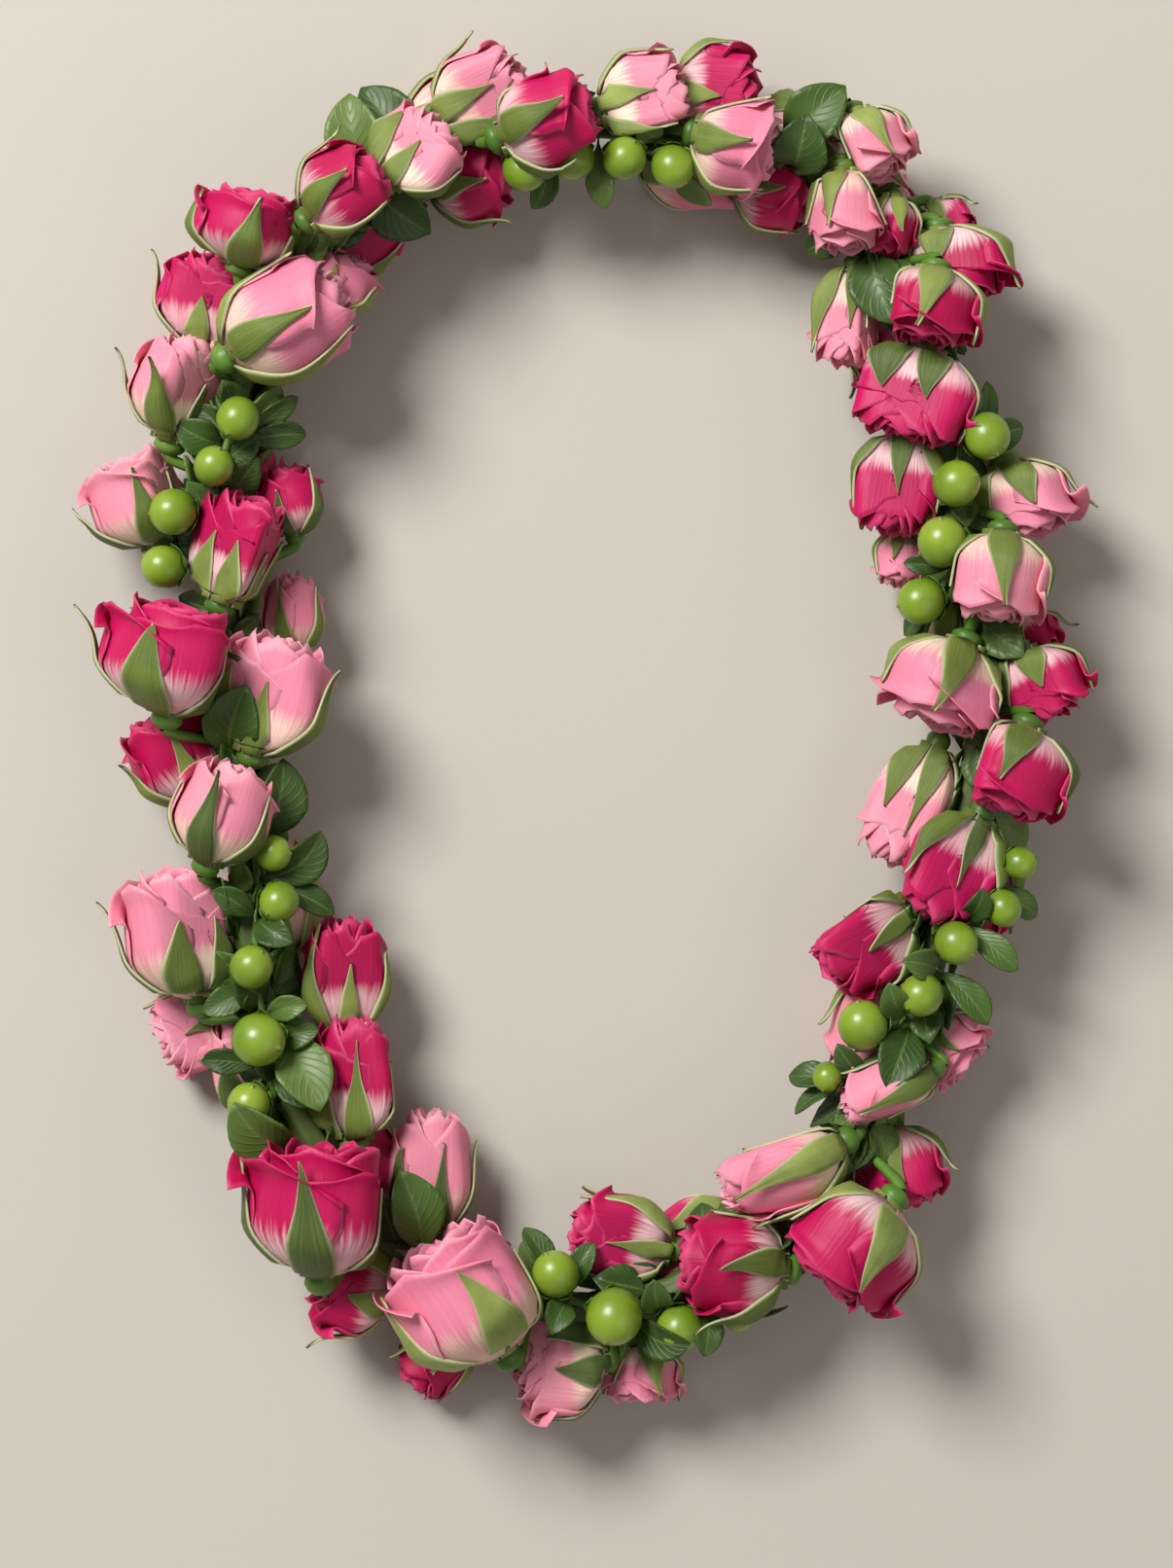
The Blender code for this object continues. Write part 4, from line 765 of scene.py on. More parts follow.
def plant_stems(buds, stations):
    """Give each bud a root sunk in the sleeve's wall, clear of the bore, and list the stems and hips."""
    hard_parts = []
    for bud in buds:
        foot, chord, along = nearest_on_loop(bud.base - bud.axis * STEM_BEHIND_BASE, stations)
        foot = foot + along * room_at_ends(foot, chord, along, stations)
        lean = bud.hip - foot
        height = np.linalg.norm(lean - along * (lean @ along))
        bud.length_of_sleeve = chord // CHORDS_IN_LENGTH
        bud.root = foot + lean * (STEM_ROOT / height)
        hard_parts.append((bud.index, bud.root, bud.hip, STEM_REACH))
        hard_parts.append((bud.index, bud.hip, bud.base, bud.hip_radius))
    return hard_parts


def berry_places(sprig, stations):
    """Each berry's place along the loop, middle, radius and direction, lifted clear of the twig."""
    places = []
    for x, y, z, diameter in sprig[0]:
        middle = np.array([x, y, z], float)
        foot, chord, _ = nearest_on_loop(middle, stations)
        out = unit(middle - foot)
        height = max(np.linalg.norm(middle - foot), TWIG_OFFSET + TWIG_RADIUS + diameter / 2 + BERRY_LIFT)
        start, end = chord_ends(stations, chord)
        place = chord + np.linalg.norm(foot - start) / np.linalg.norm(end - start)
        if places:
            place += STATIONS * round((places[0][0] - place) / STATIONS)
        places.append((place, foot + out * height, diameter / 2, out))
    return sorted(places, key=lambda row: row[0])


def twig_point(place, out, stations):
    """A point of the twig, beside the sleeve at a place along the loop."""
    chord = math.floor(place)
    start, end = chord_ends(stations, chord)
    along = unit(end - start)
    return lerp(start, end, place - chord) + square_to(out, along) * TWIG_OFFSET


def pressed(bud, points, clear):
    """The points, drawn in towards the bud's middle where its walls press, in the same order outwards."""
    away = points - bud.centre
    distance = np.linalg.norm(away, axis=1)
    rays = away / np.maximum(distance, TINY)[:, None]
    walls = bud.walls + bud.bounds
    normals = np.array([normal for normal, _, _ in walls])
    levels = np.array([level - (0.0 if kind == "ground" else clear) for _, level, kind in walls])
    room = LEAST_ROOM * bud.radius + PETAL_CLEAR - clear
    least = np.array([room if kind == "pair" else 0.0 for _, _, kind in walls])
    levels = np.maximum(levels - normals @ bud.centre, least)
    slopes = rays @ normals.T
    reach = np.maximum(levels, LEAST_REACH) / np.maximum(slopes, ALONG_WALL)
    reach = np.where(slopes > ALONG_WALL, reach, FAR).min(axis=1)
    for middle, radius in bud.balls:
        toward = middle - bud.centre
        along = rays @ toward
        miss = np.sqrt(np.maximum(toward @ toward - along**2, 0.0))
        full = radius + clear
        deep = along - np.sqrt(np.maximum(full**2 - miss**2, 0.0)) + np.maximum(miss - full, 0.0) * STEEPNESS
        stopped = np.minimum(reach, np.maximum(deep, LEAST_REACH))
        reach = np.where((along > 0) & (miss < full + EASE), stopped, reach)
    share = distance / reach
    beyond = np.maximum(share - PRESS_FROM, 0.0) / (1 - PRESS_FROM)
    kept = np.minimum(share, PRESS_FROM) + (1 - PRESS_FROM) * (1 - np.exp(-beyond))
    return bud.centre + rays * (kept * reach)[:, None]


class Sheets:
    """Points, faces and shades of many small sheets, tubes and lathes, gathered for one mesh."""

    def __init__(self):
        self.points, self.faces, self.shades, self.count = [], [], [], 0

    def add(self, grid, shades, quads):
        """One side of a sheet."""
        self.points.append(grid.reshape(-1, 3))
        self.shades.append(shades.reshape(-1, 3))
        self.faces.append(quads)
        self.count += len(self.points[-1])

    def add_grid(self, grid, shade, thick=0.0, closed=False):
        """A grid of points with its three shades, thickened or closed round where asked for."""
        shades = np.empty(grid.shape)
        for part, value in enumerate(shade):
            shades[..., part] = value
        rows, columns = grid.shape[:2]
        number = np.arange(rows * columns).reshape(rows, columns) + self.count
        right = np.roll(number, -1, axis=1) if closed else number[:, 1:]
        left = number if closed else number[:, :-1]
        quads = np.stack([left[:-1], right[:-1], right[1:], left[1:]], axis=-1).reshape(-1, 4)
        self.add(grid, shades, quads)
        if not thick:
            return
        other = number + rows * columns
        self.add(grid - grid_normals(grid) * thick, shades, quads[:, ::-1] + rows * columns)
        for near, far in (
            (number[-1], other[-1]),
            (other[0], number[0]),
            (other[:, -1], number[:, -1]),
            (number[:, 0], other[:, 0]),
        ):
            self.faces.append(np.stack([near[:-1], near[1:], far[1:], far[:-1]], axis=-1))

    def make(self, name, finish, slot, shift, solid):
        """One smooth object of everything gathered, riding on the lei, in place of the solid."""
        if not self.count:
            return
        mesh = bpy.data.meshes.new(name)
        points = np.concatenate(self.points) + shift
        points[:, 2] = np.maximum(points[:, 2], FLOOR_CLEAR)
        mesh.from_pydata((points * MM).tolist(), [], np.concatenate(self.faces).tolist())
        mesh.polygons.foreach_set("use_smooth", np.ones(len(mesh.polygons), bool))
        shade = mesh.attributes.new("shade", "FLOAT_VECTOR", "POINT")
        shade.data.foreach_set("vector", np.concatenate(self.shades).astype(np.float32).ravel())
        mesh.materials.append(finish)
        mesh.update()
        piece = placed(name, mesh)
        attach(piece, "root")
        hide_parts(solid)


def unit_rows(vectors):
    """Each of an array's vectors at length one."""
    return vectors / np.maximum(np.linalg.norm(vectors, axis=-1, keepdims=True), TINY)


def grid_normals(grid):
    """Unit normals of a grid of points."""
    return unit_rows(np.cross(np.gradient(grid, axis=1), np.gradient(grid, axis=0)))


def sheet_places(rows, columns, crowding=1.0):
    """Places of a sheet's points: -1 to 1 across it, and 0 to 1 along it."""
    return np.meshgrid(np.linspace(-1, 1, columns), np.linspace(0, 1, rows) ** crowding)


def smooth_step(value, start, end):
    """0 below start, 1 above end and a smooth rise between."""
    share = np.clip((value - start) / (end - start), 0.0, 1.0)
    return share * share * (3 - 2 * share)


def quarter_wave(share):
    """From 0 to 1 as the share does, quickly at first and then ever slower."""
    return np.sin(np.pi / 2 * np.clip(share, 0, 1))


def swell(z, lip):
    """Radius of a bud, as a share of its greatest, at a share of its length."""
    body = FOOT_WIDTH + BODY_WIDTH * quarter_wave(z / WIDEST)
    closing = np.clip((z - WIDEST) / (1 - WIDEST), 0, CLOSING_MOST)
    return body * (1 - (1 - lip) * closing**CLOSING)


def round_bud(bud, z, radius, degrees):
    """Points at shares of the length, radii and angles round the bud's axis."""
    u, v = bud.frame()
    angle = np.radians(degrees)
    out = np.cos(angle)[..., None] * u + np.sin(angle)[..., None] * v
    return bud.base + bud.axis * (bud.length * z)[..., None] + out * radius[..., None]


def pressed_grid(bud, grid, clear):
    """A grid of points, drawn in where the bud's walls press."""
    return pressed(bud, grid.reshape(-1, 3), clear).reshape(grid.shape)


def wave(phase, start, u, count):
    """A wave across a petal, which starts at a multiple of the petal's own phase."""
    return np.sin(start * phase + u * count)


def add_petal(sheets, bud, rng, middle, half, start, scale, top, lip, curl, rows, columns, tone):
    """One petal: a sheet that wraps the bud, widens to its shoulder and rolls out at its lip."""
    u, t = sheet_places(rows, columns, ROW_CROWDING)
    edge = np.abs(u)
    z = start + (top - start) * t * (1 - rng.uniform(*CROWN) * edge**CROWN_EDGE * t**CROWN_RISE)
    z = z + CUSP * np.exp(-((u / CUSP_WIDTH) ** 2)) * smooth_step(t, CUSP_FROM, 1.0)
    spread = half * (0.5 + 0.5 * quarter_wave(t / WIDENS_TO))
    angle = middle + u * spread + rng.uniform(-PETAL_LEAN, PETAL_LEAN) * t
    foot = PETAL_FOOT + (1 - PETAL_FOOT) * smooth_step(z, 0.0, PETAL_FOOT_HEIGHT)
    radius = bud.radius * scale * swell(z, lip) * foot
    radius = radius + LAP * u * (LAP_FOOT + LAP_MORE * t)
    rolled = smooth_step(t, ROLLS_FROM, 1.0)
    roll = curl * rng.uniform(*ROLL_SIZES) * (ROLL_MIDDLE + ROLL_MORE * edge**2) * smooth_step(u, *ROLL_SIDE)
    radius = radius + bud.radius * roll * rolled**2
    z = z - bud.radius / bud.length * roll * ROLL_DROP * rolled**4
    phase = rng.uniform(0, 2 * math.pi)
    depth, *fine = FINE_RUFFLE
    waves = wave(phase, 1.0, u, rng.uniform(*RUFFLES)) + depth * wave(phase, fine[0], u, fine[1])
    radius = radius + bud.radius * RUFFLE * waves * rolled
    z = z + RUFFLE * wave(phase, UPWARD_RUFFLE[0], u, UPWARD_RUFFLE[1]) * rolled
    from_phase, across, along = WAVER_WAYS
    radius = radius * (1 + WAVER * np.sin(phase * from_phase + u * across + t * along))
    grid = pressed_grid(bud, round_bud(bud, z, radius, angle), PETAL_CLEAR)
    sheets.add_grid(grid, (t * (top - start) + start, edge, tone), PETAL_THICK)


def add_petals(sheets, bud, rng):
    """All the petals of a bud, from the outer five to the furled heart."""
    base_tone = rng.uniform(0, 1)
    first = 0.0
    for count, spin, turn, wander, half, start, sway, *pairs, rows, columns in RINGS:
        scale, top, lip, curl = (lerp(*pair, bud.opening) for pair in pairs)
        first = rng.uniform(0, spin) if spin else first
        for k in range(count):
            middle = first + turn + 360 / count * k + (rng.uniform(-wander, wander) if wander else 0.0)
            own_top = top + (rng.uniform(*sway) if sway else 0.0)
            tone = np.clip(base_tone + rng.uniform(-TONE_SWAY, TONE_SWAY), 0, 1)
            add_petal(sheets, bud, rng, middle, half, start, scale, own_top, lip, curl, rows, columns, tone)


def add_sepals(sheets, bud, rng):
    """Five pointed sepals that hug the bud, some with a long thin tip that bends away."""
    lip = lerp(*OUTER_LIP, bud.opening)
    u, t = sheet_places(*SEPAL_GRID)
    outline = np.interp(t, SEPAL_PLACES, SEPAL_WIDTHS)
    tone = rng.uniform(0, 1)
    for k in range(PETALS):
        length = rng.uniform(*SEPAL_LENGTHS)
        away = rng.uniform(*SEPAL_HUGS) if rng.random() < SEPALS_THAT_HUG else rng.uniform(*SEPAL_BENDS)
        z = -SEPAL_SEAT + (length + SEPAL_SEAT) * t
        angle = 360 / PETALS * k + rng.uniform(-SEPAL_TURN, SEPAL_TURN) + u * SEPAL_HALF * outline
        angle = angle + rng.uniform(-SEPAL_SWERVE, SEPAL_SWERVE) * t**2
        radius = bud.radius * COLLAR_SHARE * swell(np.maximum(z, 0.0), lip) + SEPAL_LIFT
        radius = np.where(z < SEPAL_SEAT, np.minimum(radius, bud.hip_radius * HIP_COLLAR + HIP_LIFT), radius)
        radius = radius + SEPAL_BULGE * (1 - u**2) * outline + bud.radius * away * t**4
        radius = radius + SEPAL_RIPPLE * np.sin(u * SEPAL_RIPPLES + k) * t
        z = z - SEPAL_SHORTENS * away * t**3
        grid = pressed_grid(bud, round_bud(bud, z, radius, angle), SEPAL_CLEAR)
        own = np.clip(tone + rng.uniform(-SEPAL_TONE_SWAY, SEPAL_TONE_SWAY), 0, 1)
        sheets.add_grid(grid, (t, np.abs(u), own), SEPAL_THICK)


def add_hip(sheets, bud, rng):
    """The hip under the sepals, as a lathe, and the stem that bends from it down into the sleeve."""
    radius = np.array([STEM_RADIUS, *(bud.hip_radius * np.array(HIP_WIDTHS)), bud.radius * HIP_RIM])
    degrees = np.arange(HIP_SIDES) * 360 / HIP_SIDES
    z, angle = np.meshgrid(np.array(HIP_PLACES) * HIP_BACK, degrees, indexing="ij")
    grid = round_bud(bud, z, np.repeat(radius[:, None], HIP_SIDES, axis=1), angle)
    tone = rng.uniform(0, 1)
    sheets.add_grid(grid, (STEM_SHADE, 0.0, tone), closed=True)
    end = bud.base - bud.axis * bud.length * HIP_BACK * STEM_INSIDE
    line = bezier(bud.root, lerp(bud.root, end, STEM_RISE), end - bud.axis * STEM_BEND, end, STEM_STEPS)
    add_tube(sheets, line, np.linspace(*STEM_TAPER, STEM_STEPS), STEM_SIDES, tone)


def bezier(a, b, c, d, count):
    """Points along a cubic curve."""
    t = np.linspace(0, 1, count)[:, None]
    return (1 - t) ** 3 * a + 3 * (1 - t) ** 2 * t * b + 3 * (1 - t) * t**2 * c + t**3 * d


def circle(sides):
    """Cosines and sines of the angles of a circle's points."""
    angle = np.arange(sides) * 2 * math.pi / sides
    return np.cos(angle)[None, :, None], np.sin(angle)[None, :, None]


def add_tube(sheets, line, radii, sides, tone, lobes=0):
    """A tube along a line of points, with lobes that twist round it where asked for."""
    line = np.asarray(line, float)
    heading = unit_rows(np.gradient(line, axis=0))
    guide = np.where(np.abs(heading[:, 2:3]) < STEEP, [[0.0, 0.0, 1.0]], [[1.0, 0.0, 0.0]])
    u = unit_rows(np.cross(guide, heading))
    v = np.cross(heading, u)
    angle = np.arange(sides) * 2 * math.pi / sides
    place = np.arange(len(line))[:, None]
    bulge = 1 + (LOBE_HEIGHT * np.cos(lobes * angle[None, :] + LOBE_TWIST * place) if lobes else 0.0)
    reach = np.asarray(radii)[:, None] * bulge * np.ones((len(line), sides))
    cosines, sines = circle(sides)
    grid = line[:, None, :] + reach[..., None] * (cosines * u[:, None, :] + sines * v[:, None, :])
    sheets.add_grid(grid, (STEM_SHADE, 0.0, tone), closed=True)


def add_sleeve(sheets, stations, number):
    """One length of the pressed stems round the cord, a lobed bundle that twists. Gives its corners."""
    first = number * CHORDS_IN_LENGTH
    corners = [stations[(first + step) % STATIONS] for step in range(CHORDS_IN_LENGTH + 1)]
    line = []
    for start, end in zip(corners, corners[1:]):
        for share in np.linspace(0, 1, SLEEVE_STEPS, endpoint=False):
            line.append(lerp(start, end, share))
    line.append(corners[-1])
    add_tube(sheets, line, np.full(len(line), SLEEVE_RADIUS * SLEEVE_SHARE), SLEEVE_SIDES, 0.0, LOBES)
    for end, inner in ((line[0], line[1]), (line[-1], line[-2])):
        add_tube(sheets, [end, end + (inner - end) * CAP_DEPTH], CAP_RADII, SLEEVE_SIDES, 0.0)
    return corners


def add_scale(sheets, corners, rng):
    """A small leaf that stands on a length of the sleeve."""
    place = rng.uniform(*SCALE_PLACES) * CHORDS_IN_LENGTH
    start, end = corners[int(place)], corners[int(place) + 1]
    forward = unit(start - end)
    lean = rng.uniform(-math.pi, math.pi)
    out = UP * math.cos(lean) + np.cross(forward, UP) * math.sin(lean)
    foot = lerp(start, end, place % 1) + out * SLEEVE_RADIUS * SCALE_SEAT
    swing = rng.uniform(-SCALE_SWING, SCALE_SWING)
    along = forward * math.cos(swing) + np.cross(out, forward) * math.sin(swing)
    along = unit(along + out * rng.uniform(*SCALE_RISE))
    length = SCALE_LENGTH * rng.uniform(*SCALE_SIZES)
    middle = foot + along * length * LEAF_TIP
    add_leaf(sheets, foot, middle, along, length, square_to(out, along), rng, SCALE_GRID)


def across_axis(axis):
    """Two directions across an axis."""
    u = unit(np.cross(axis, NEAR_X))
    return u, np.cross(axis, u)


def add_berry(sheets, root, centre, radius, rng):
    """A glossy berry, a little longer than wide, with its dry tip."""
    turn = rng.uniform(0, 2 * math.pi)
    axis = unit(unit(centre - root) + np.array([math.cos(turn), math.sin(turn), 0.0]) * BERRY_TILT)
    u, v = across_axis(axis)
    polar = np.radians(BERRY_ANGLES)
    along = np.cos(polar) * BERRY_LENGTH
    flat = np.sin(polar)
    tip = len(BERRY_TIP)
    along[-tip:], flat[-tip:] = zip(*BERRY_TIP)
    cosines, sines = circle(BERRY_SIDES)
    grid = centre + radius * BERRY_SHARE * (
        along[:, None, None] * axis + flat[:, None, None] * (cosines * u + sines * v)
    )
    on_tip = np.arange(len(polar)) >= len(polar) - tip
    share = (along + BERRY_LENGTH) / BERRY_SPAN
    sheets.add_grid(grid, (share[:, None], on_tip[:, None], rng.uniform(0, 1)), closed=True)


def add_berry_calyx(sheets, root, centre, radius, rng):
    """Stalk of a berry, and the small green sepals that cup its foot."""
    axis = unit(centre - root)
    u, v = across_axis(axis)
    tone = rng.uniform(0, 1)
    end = centre - axis * radius * STALK_END
    bends = (lerp(root, centre, share) for share in STALK_BENDS)
    line = bezier(root, *bends, end, len(STALK_RADII))
    add_tube(sheets, line, STALK_RADII, STEM_SIDES, tone)
    w, t = sheet_places(*CUP_GRID)
    polar = np.radians(CUP_FOOT - CUP_REACH * t)
    outline = np.sin(np.pi * np.clip(CUP_SHARES[0] + CUP_SHARES[1] * t, 0, 1)) ** CUP_ROUNDING
    reach = radius * (CUP_SIZES[0] + CUP_SIZES[1] * t**2)
    for k in range(CUP_SEPALS):
        angle = math.radians(360 / CUP_SEPALS * k) + w * np.radians(CUP_HALF) * outline
        grid = centre + reach[..., None] * (
            np.cos(polar)[..., None] * axis
            + (np.sin(polar) * np.cos(angle))[..., None] * u
            + (np.sin(polar) * np.sin(angle))[..., None] * v
        )
        sheets.add_grid(grid, (t, np.abs(w), tone), PETAL_THICK)


def add_leaf(sheets, root, middle, along, length, out, rng, grid_size=LEAF_GRID):
    """A rounded leaf on a short stalk, folded a little along its rib and dished at its tip."""
    tip = middle + along * length * LEAF_TIP
    bend = along * length * LEAF_BEND
    line = bezier(root, lerp(root, middle, 0.5) - bend, middle - bend, tip, grid_size[0])
    heading = unit_rows(np.gradient(line, axis=0))
    side = unit_rows(np.cross(out[None, :], heading))
    normal = np.cross(heading, side)
    w, t = sheet_places(*grid_size)
    outline = np.interp(t, LEAF_PLACES, LEAF_WIDTHS)
    edge = np.abs(w)
    rise = length * (LEAF_FOLD * edge**LEAF_FOLDING - LEAF_DISH * t**3) * outline
    ripples = np.sin(t * LEAF_RIPPLES[0] + edge * LEAF_RIPPLES[1])
    rise = rise + LEAF_RIPPLE * ripples * edge * np.sin(np.pi * t)
    width = w * length * LEAF_HALF * outline
    grid = line[:, None, :] + side[:, None, :] * width[..., None] + normal[:, None, :] * rise[..., None]
    sheets.add_grid(grid, (t, edge, rng.uniform(0, 1)), LEAF_SHEET)


def flat_heading(heading, out):
    """The direction that a heading in degrees gives in a leaf's plane."""
    along = np.array([math.cos(math.radians(heading)), math.sin(math.radians(heading)), 0.0])
    return square_to(along, out)


def leaf_tries(row, roots, stations):
    """Each height, size and turn that a leaf of a sprig may have, in order."""
    x, y, z, full_length, heading = row
    for size, lift, turn in itertools.product(LEAF_SIZES, LEAF_LIFTS, LEAF_TURNS):
        length = full_length * size
        middle = np.array([x, y, z + lift], float)
        out = unit((middle - nearest_on_loop(middle, stations)[0]) * LEAF_WAY)
        along = flat_heading(heading + turn, out)
        back = middle - along * length * LEAF_BACK
        near = min(roots, key=lambda point: np.linalg.norm(point - back))
        away = back - near
        stalk = away * min(1.0, LEAF_REACH / np.linalg.norm(away))
        yield near - unit(away) * LEAF_SINK, near + stalk + along * length * LEAF_BACK, along, length, out


def filler_tries(chord, share, side, stations):
    """Each height, size and turn that a leaf over a place beside the sleeve may have, in order."""
    start, end = chord_ends(stations, chord)
    forward = -unit(end - start)
    across = np.cross(forward, UP)
    heading = math.degrees(math.atan2(forward[1], forward[0]))
    for length, lift, turn in itertools.product(FILLER_LENGTHS, FILLER_LIFTS, FILLER_TURNS):
        middle = lerp(start, end, share) + across * side + UP * lift
        out = unit(across * side * FILLER_SPREAD + UP * lift)
        along = flat_heading(heading + turn, out)
        back = middle - along * length * LEAF_BACK
        last = np.linalg.norm(end - start) - STEM_ROOM
        near = start - forward * min(last, max(STEM_ROOM, (start - back) @ forward))
        yield near + unit(back - near) * STEM_ROOT, middle, along, length, out


def add_leaf_that_fits(sheets, tries, corners, rng):
    """A leaf in the shape of the first of the tries whose tip is a corner of the solid, if there is one."""
    for shape in tries:
        _, middle, along, length, _ = shape
        if np.linalg.norm(corners - middle - along * length * LEAF_TIP, axis=1).min() < SAME_PLACE:
            add_leaf(sheets, *shape, rng)
            return


def new_material(name, settings):
    """A material, its node tree and its shader, with the settings on the shader's own sockets."""
    made = bpy.data.materials.new(name)
    made.use_nodes = True
    shader = made.node_tree.nodes["Principled BSDF"]
    for key, value in settings.items():
        shader.inputs[key].default_value = value
    return made, made.node_tree, shader


def node(tree, kind, **values):
    """A node with some of its properties or input values set."""
    made = tree.nodes.new(kind)
    for key, value in values.items():
        if key in made.inputs:
            made.inputs[key].default_value = value
        else:
            setattr(made, key, value)
    return made


def feed(tree, value, socket):
    """Set a socket to a number or a colour, or link another node's output to it."""
    if isinstance(value, tuple):
        socket.default_value = (*value, 1.0)
    elif isinstance(value, float):
        socket.default_value = value
    else:
        tree.links.new(value, socket)


def shade_of(tree):
    """A piece's shades as a vector, and one by one: along it, from its middle to its edge, its own tone."""
    read = node(tree, "ShaderNodeAttribute", attribute_name="shade")
    parts = node(tree, "ShaderNodeSeparateXYZ")
    tree.links.new(read.outputs["Vector"], parts.inputs[0])
    return read.outputs["Vector"], parts.outputs["X"], parts.outputs["Y"], parts.outputs["Z"]


def ramp(tree, value, stops):
    """A smooth colour ramp over a value."""
    made = node(tree, "ShaderNodeValToRGB")
    made.color_ramp.interpolation = "EASE"
    while len(made.color_ramp.elements) < len(stops):
        made.color_ramp.elements.new(0.5)
    for element, (place, colour) in zip(made.color_ramp.elements, stops):
        element.position = place
        element.color = (*colour, 1.0)
    tree.links.new(value, made.inputs["Fac"])
    return made.outputs["Color"]


def mixed(tree, share, first, second):
    """Two colours mixed by a share."""
    made = node(tree, "ShaderNodeMix", data_type="RGBA")
    for value, socket in ((share, made.inputs[0]), (first, made.inputs[6]), (second, made.inputs[7])):
        feed(tree, value, socket)
    return made.outputs[2]


def worked_out(tree, operation, *values, clamp=False):
    """The outcome of an operation on numbers or other nodes' outputs."""
    made = node(tree, "ShaderNodeMath", operation=operation, use_clamp=clamp)
    for value, socket in zip(values, made.inputs):
        feed(tree, value, socket)
    return made.outputs[0]


def scaled(tree, value, factor, offset=0.0):
    """A value times a factor, plus an offset, kept between 0 and 1."""
    return worked_out(tree, "MULTIPLY_ADD", value, factor, offset, clamp=True)


def tinted(tree, base, tint, value, factor, offset=0.0):
    """The base, with a tint over it where a value times a factor, plus an offset, is high."""
    return mixed(tree, scaled(tree, value, factor, offset), base, tint)


def noise(tree, vector, scale, detail, stretch=None):
    """Noise over a vector, which may be stretched first."""
    if stretch:
        mapping = node(tree, "ShaderNodeMapping", Scale=stretch)
        tree.links.new(vector, mapping.inputs["Vector"])
        vector = mapping.outputs["Vector"]
    made = node(tree, "ShaderNodeTexNoise", Scale=scale, Detail=detail)
    tree.links.new(vector, made.inputs["Vector"])
    return made.outputs["Fac"]


def own_noise(tree, scale, detail):
    """Noise over the place on the piece, with so many spots to a metre."""
    return noise(tree, node(tree, "ShaderNodeTexCoord").outputs["Object"], scale, detail)


def cover(tree, shader, base, height, depth, strength):
    """Give the shader its colour, and a bump of a set depth, in metres."""
    tree.links.new(base, shader.inputs["Base Color"])
    made = node(tree, "ShaderNodeBump", Distance=depth, Strength=strength)
    tree.links.new(height, made.inputs["Height"])
    tree.links.new(made.outputs["Normal"], shader.inputs["Normal"])


def petal_material(name, root, body, deep, rim_and_highlight, tones):
    """A petal: pale at its root, veined, deeper or lighter from one petal to the next, and paler along its
    side edges and lip, partly a paler margin of its own and partly a painted highlight.
    """
    made, tree, shader = new_material(name, PETAL_SURFACE)
    shade, along, edge, tone = shade_of(tree)
    veins = noise(tree, shade, 1.0, detail=4.0, stretch=(1.6, 22.0, 31.0))
    flow = worked_out(tree, "MULTIPLY_ADD", veins, ROOT_FLAMES, scaled(tree, along, 1.0, -ROOT_FLAMES / 2))
    base = ramp(tree, flow, ((0.12, root), (0.20, root), (0.46, body), (1.0, body)))
    base = tinted(tree, base, deep, veins, factor=1.2, offset=-0.5)
    toned = mixed(tree, 0.7, base, mixed(tree, tone, *tones))
    base = tinted(tree, base, toned, own_noise(tree, 60.0, detail=2.0), factor=1.3, offset=-0.25)
    # Painted highlight, partly the petal's own paler margin: the rim colour along both side edges and along
    # the top lip
    base = tinted(tree, base, rim_and_highlight, scaled(tree, edge, 9.0, -8.3), factor=0.55)
    base = tinted(tree, base, rim_and_highlight, scaled(tree, along, 14.0, -12.9), factor=0.5)
    cover(tree, shader, base, veins, depth=0.0004, strength=0.35)
    return made


def sepal_material():
    """Sepals and the sleeve: green, finely ribbed, brown at the tips, with a pale margin."""
    made, tree, shader = new_material("sepal_green", SEPAL_SURFACE)
    shade, along, edge, tone = shade_of(tree)
    ribs = noise(tree, shade, 1.0, detail=3.0, stretch=(1.2, 26.0, 17.0))
    base = ramp(tree, tone, SEPAL_TONES)
    base = tinted(tree, base, SEPAL_SHADOW, own_noise(tree, 90.0, detail=4.0), factor=1.6, offset=-0.6)
    base = tinted(tree, base, SEPAL_RIB, ribs, factor=1.2, offset=-0.45)
    base = tinted(tree, base, SEPAL_BROWN, along, factor=4.0, offset=-3.2)
    base = tinted(tree, base, SEPAL_MARGIN, scaled(tree, edge, 5.0, -4.0), factor=0.7)
    cover(tree, shader, base, ribs, depth=0.0005, strength=0.5)
    return made


def stem_material():
    """Hips, stems and stalks: fresh smooth green, with fine ribs."""
    made, tree, shader = new_material("stem_green", WAXY_SURFACE)
    tone = shade_of(tree)[3]
    base = ramp(tree, tone, STEM_TONES)
    base = tinted(tree, base, STEM_SHADOW, own_noise(tree, 90.0, detail=4.0), factor=1.4, offset=-0.5)
    cover(tree, shader, base, own_noise(tree, 500.0, detail=2.0), depth=0.0003, strength=0.4)
    return made


def berry_material():
    """A glossy berry: lime, deeper towards its foot, with a dark dry tip."""
    made, tree, shader = new_material("berry_green", BERRY_SURFACE)
    _, along, tip, tone = shade_of(tree)
    base = ramp(tree, along, BERRY_LENGTHWISE)
    base = tinted(tree, base, BERRY_DEEP, tone, factor=0.5)
    base = tinted(tree, base, BERRY_PALE, own_noise(tree, 120.0, detail=3.0), factor=0.9, offset=-0.3)
    base = tinted(tree, base, BERRY_DRY, tip, factor=0.5)
    cover(tree, shader, base, own_noise(tree, 900.0, detail=2.0), depth=0.0002, strength=0.25)
    return made


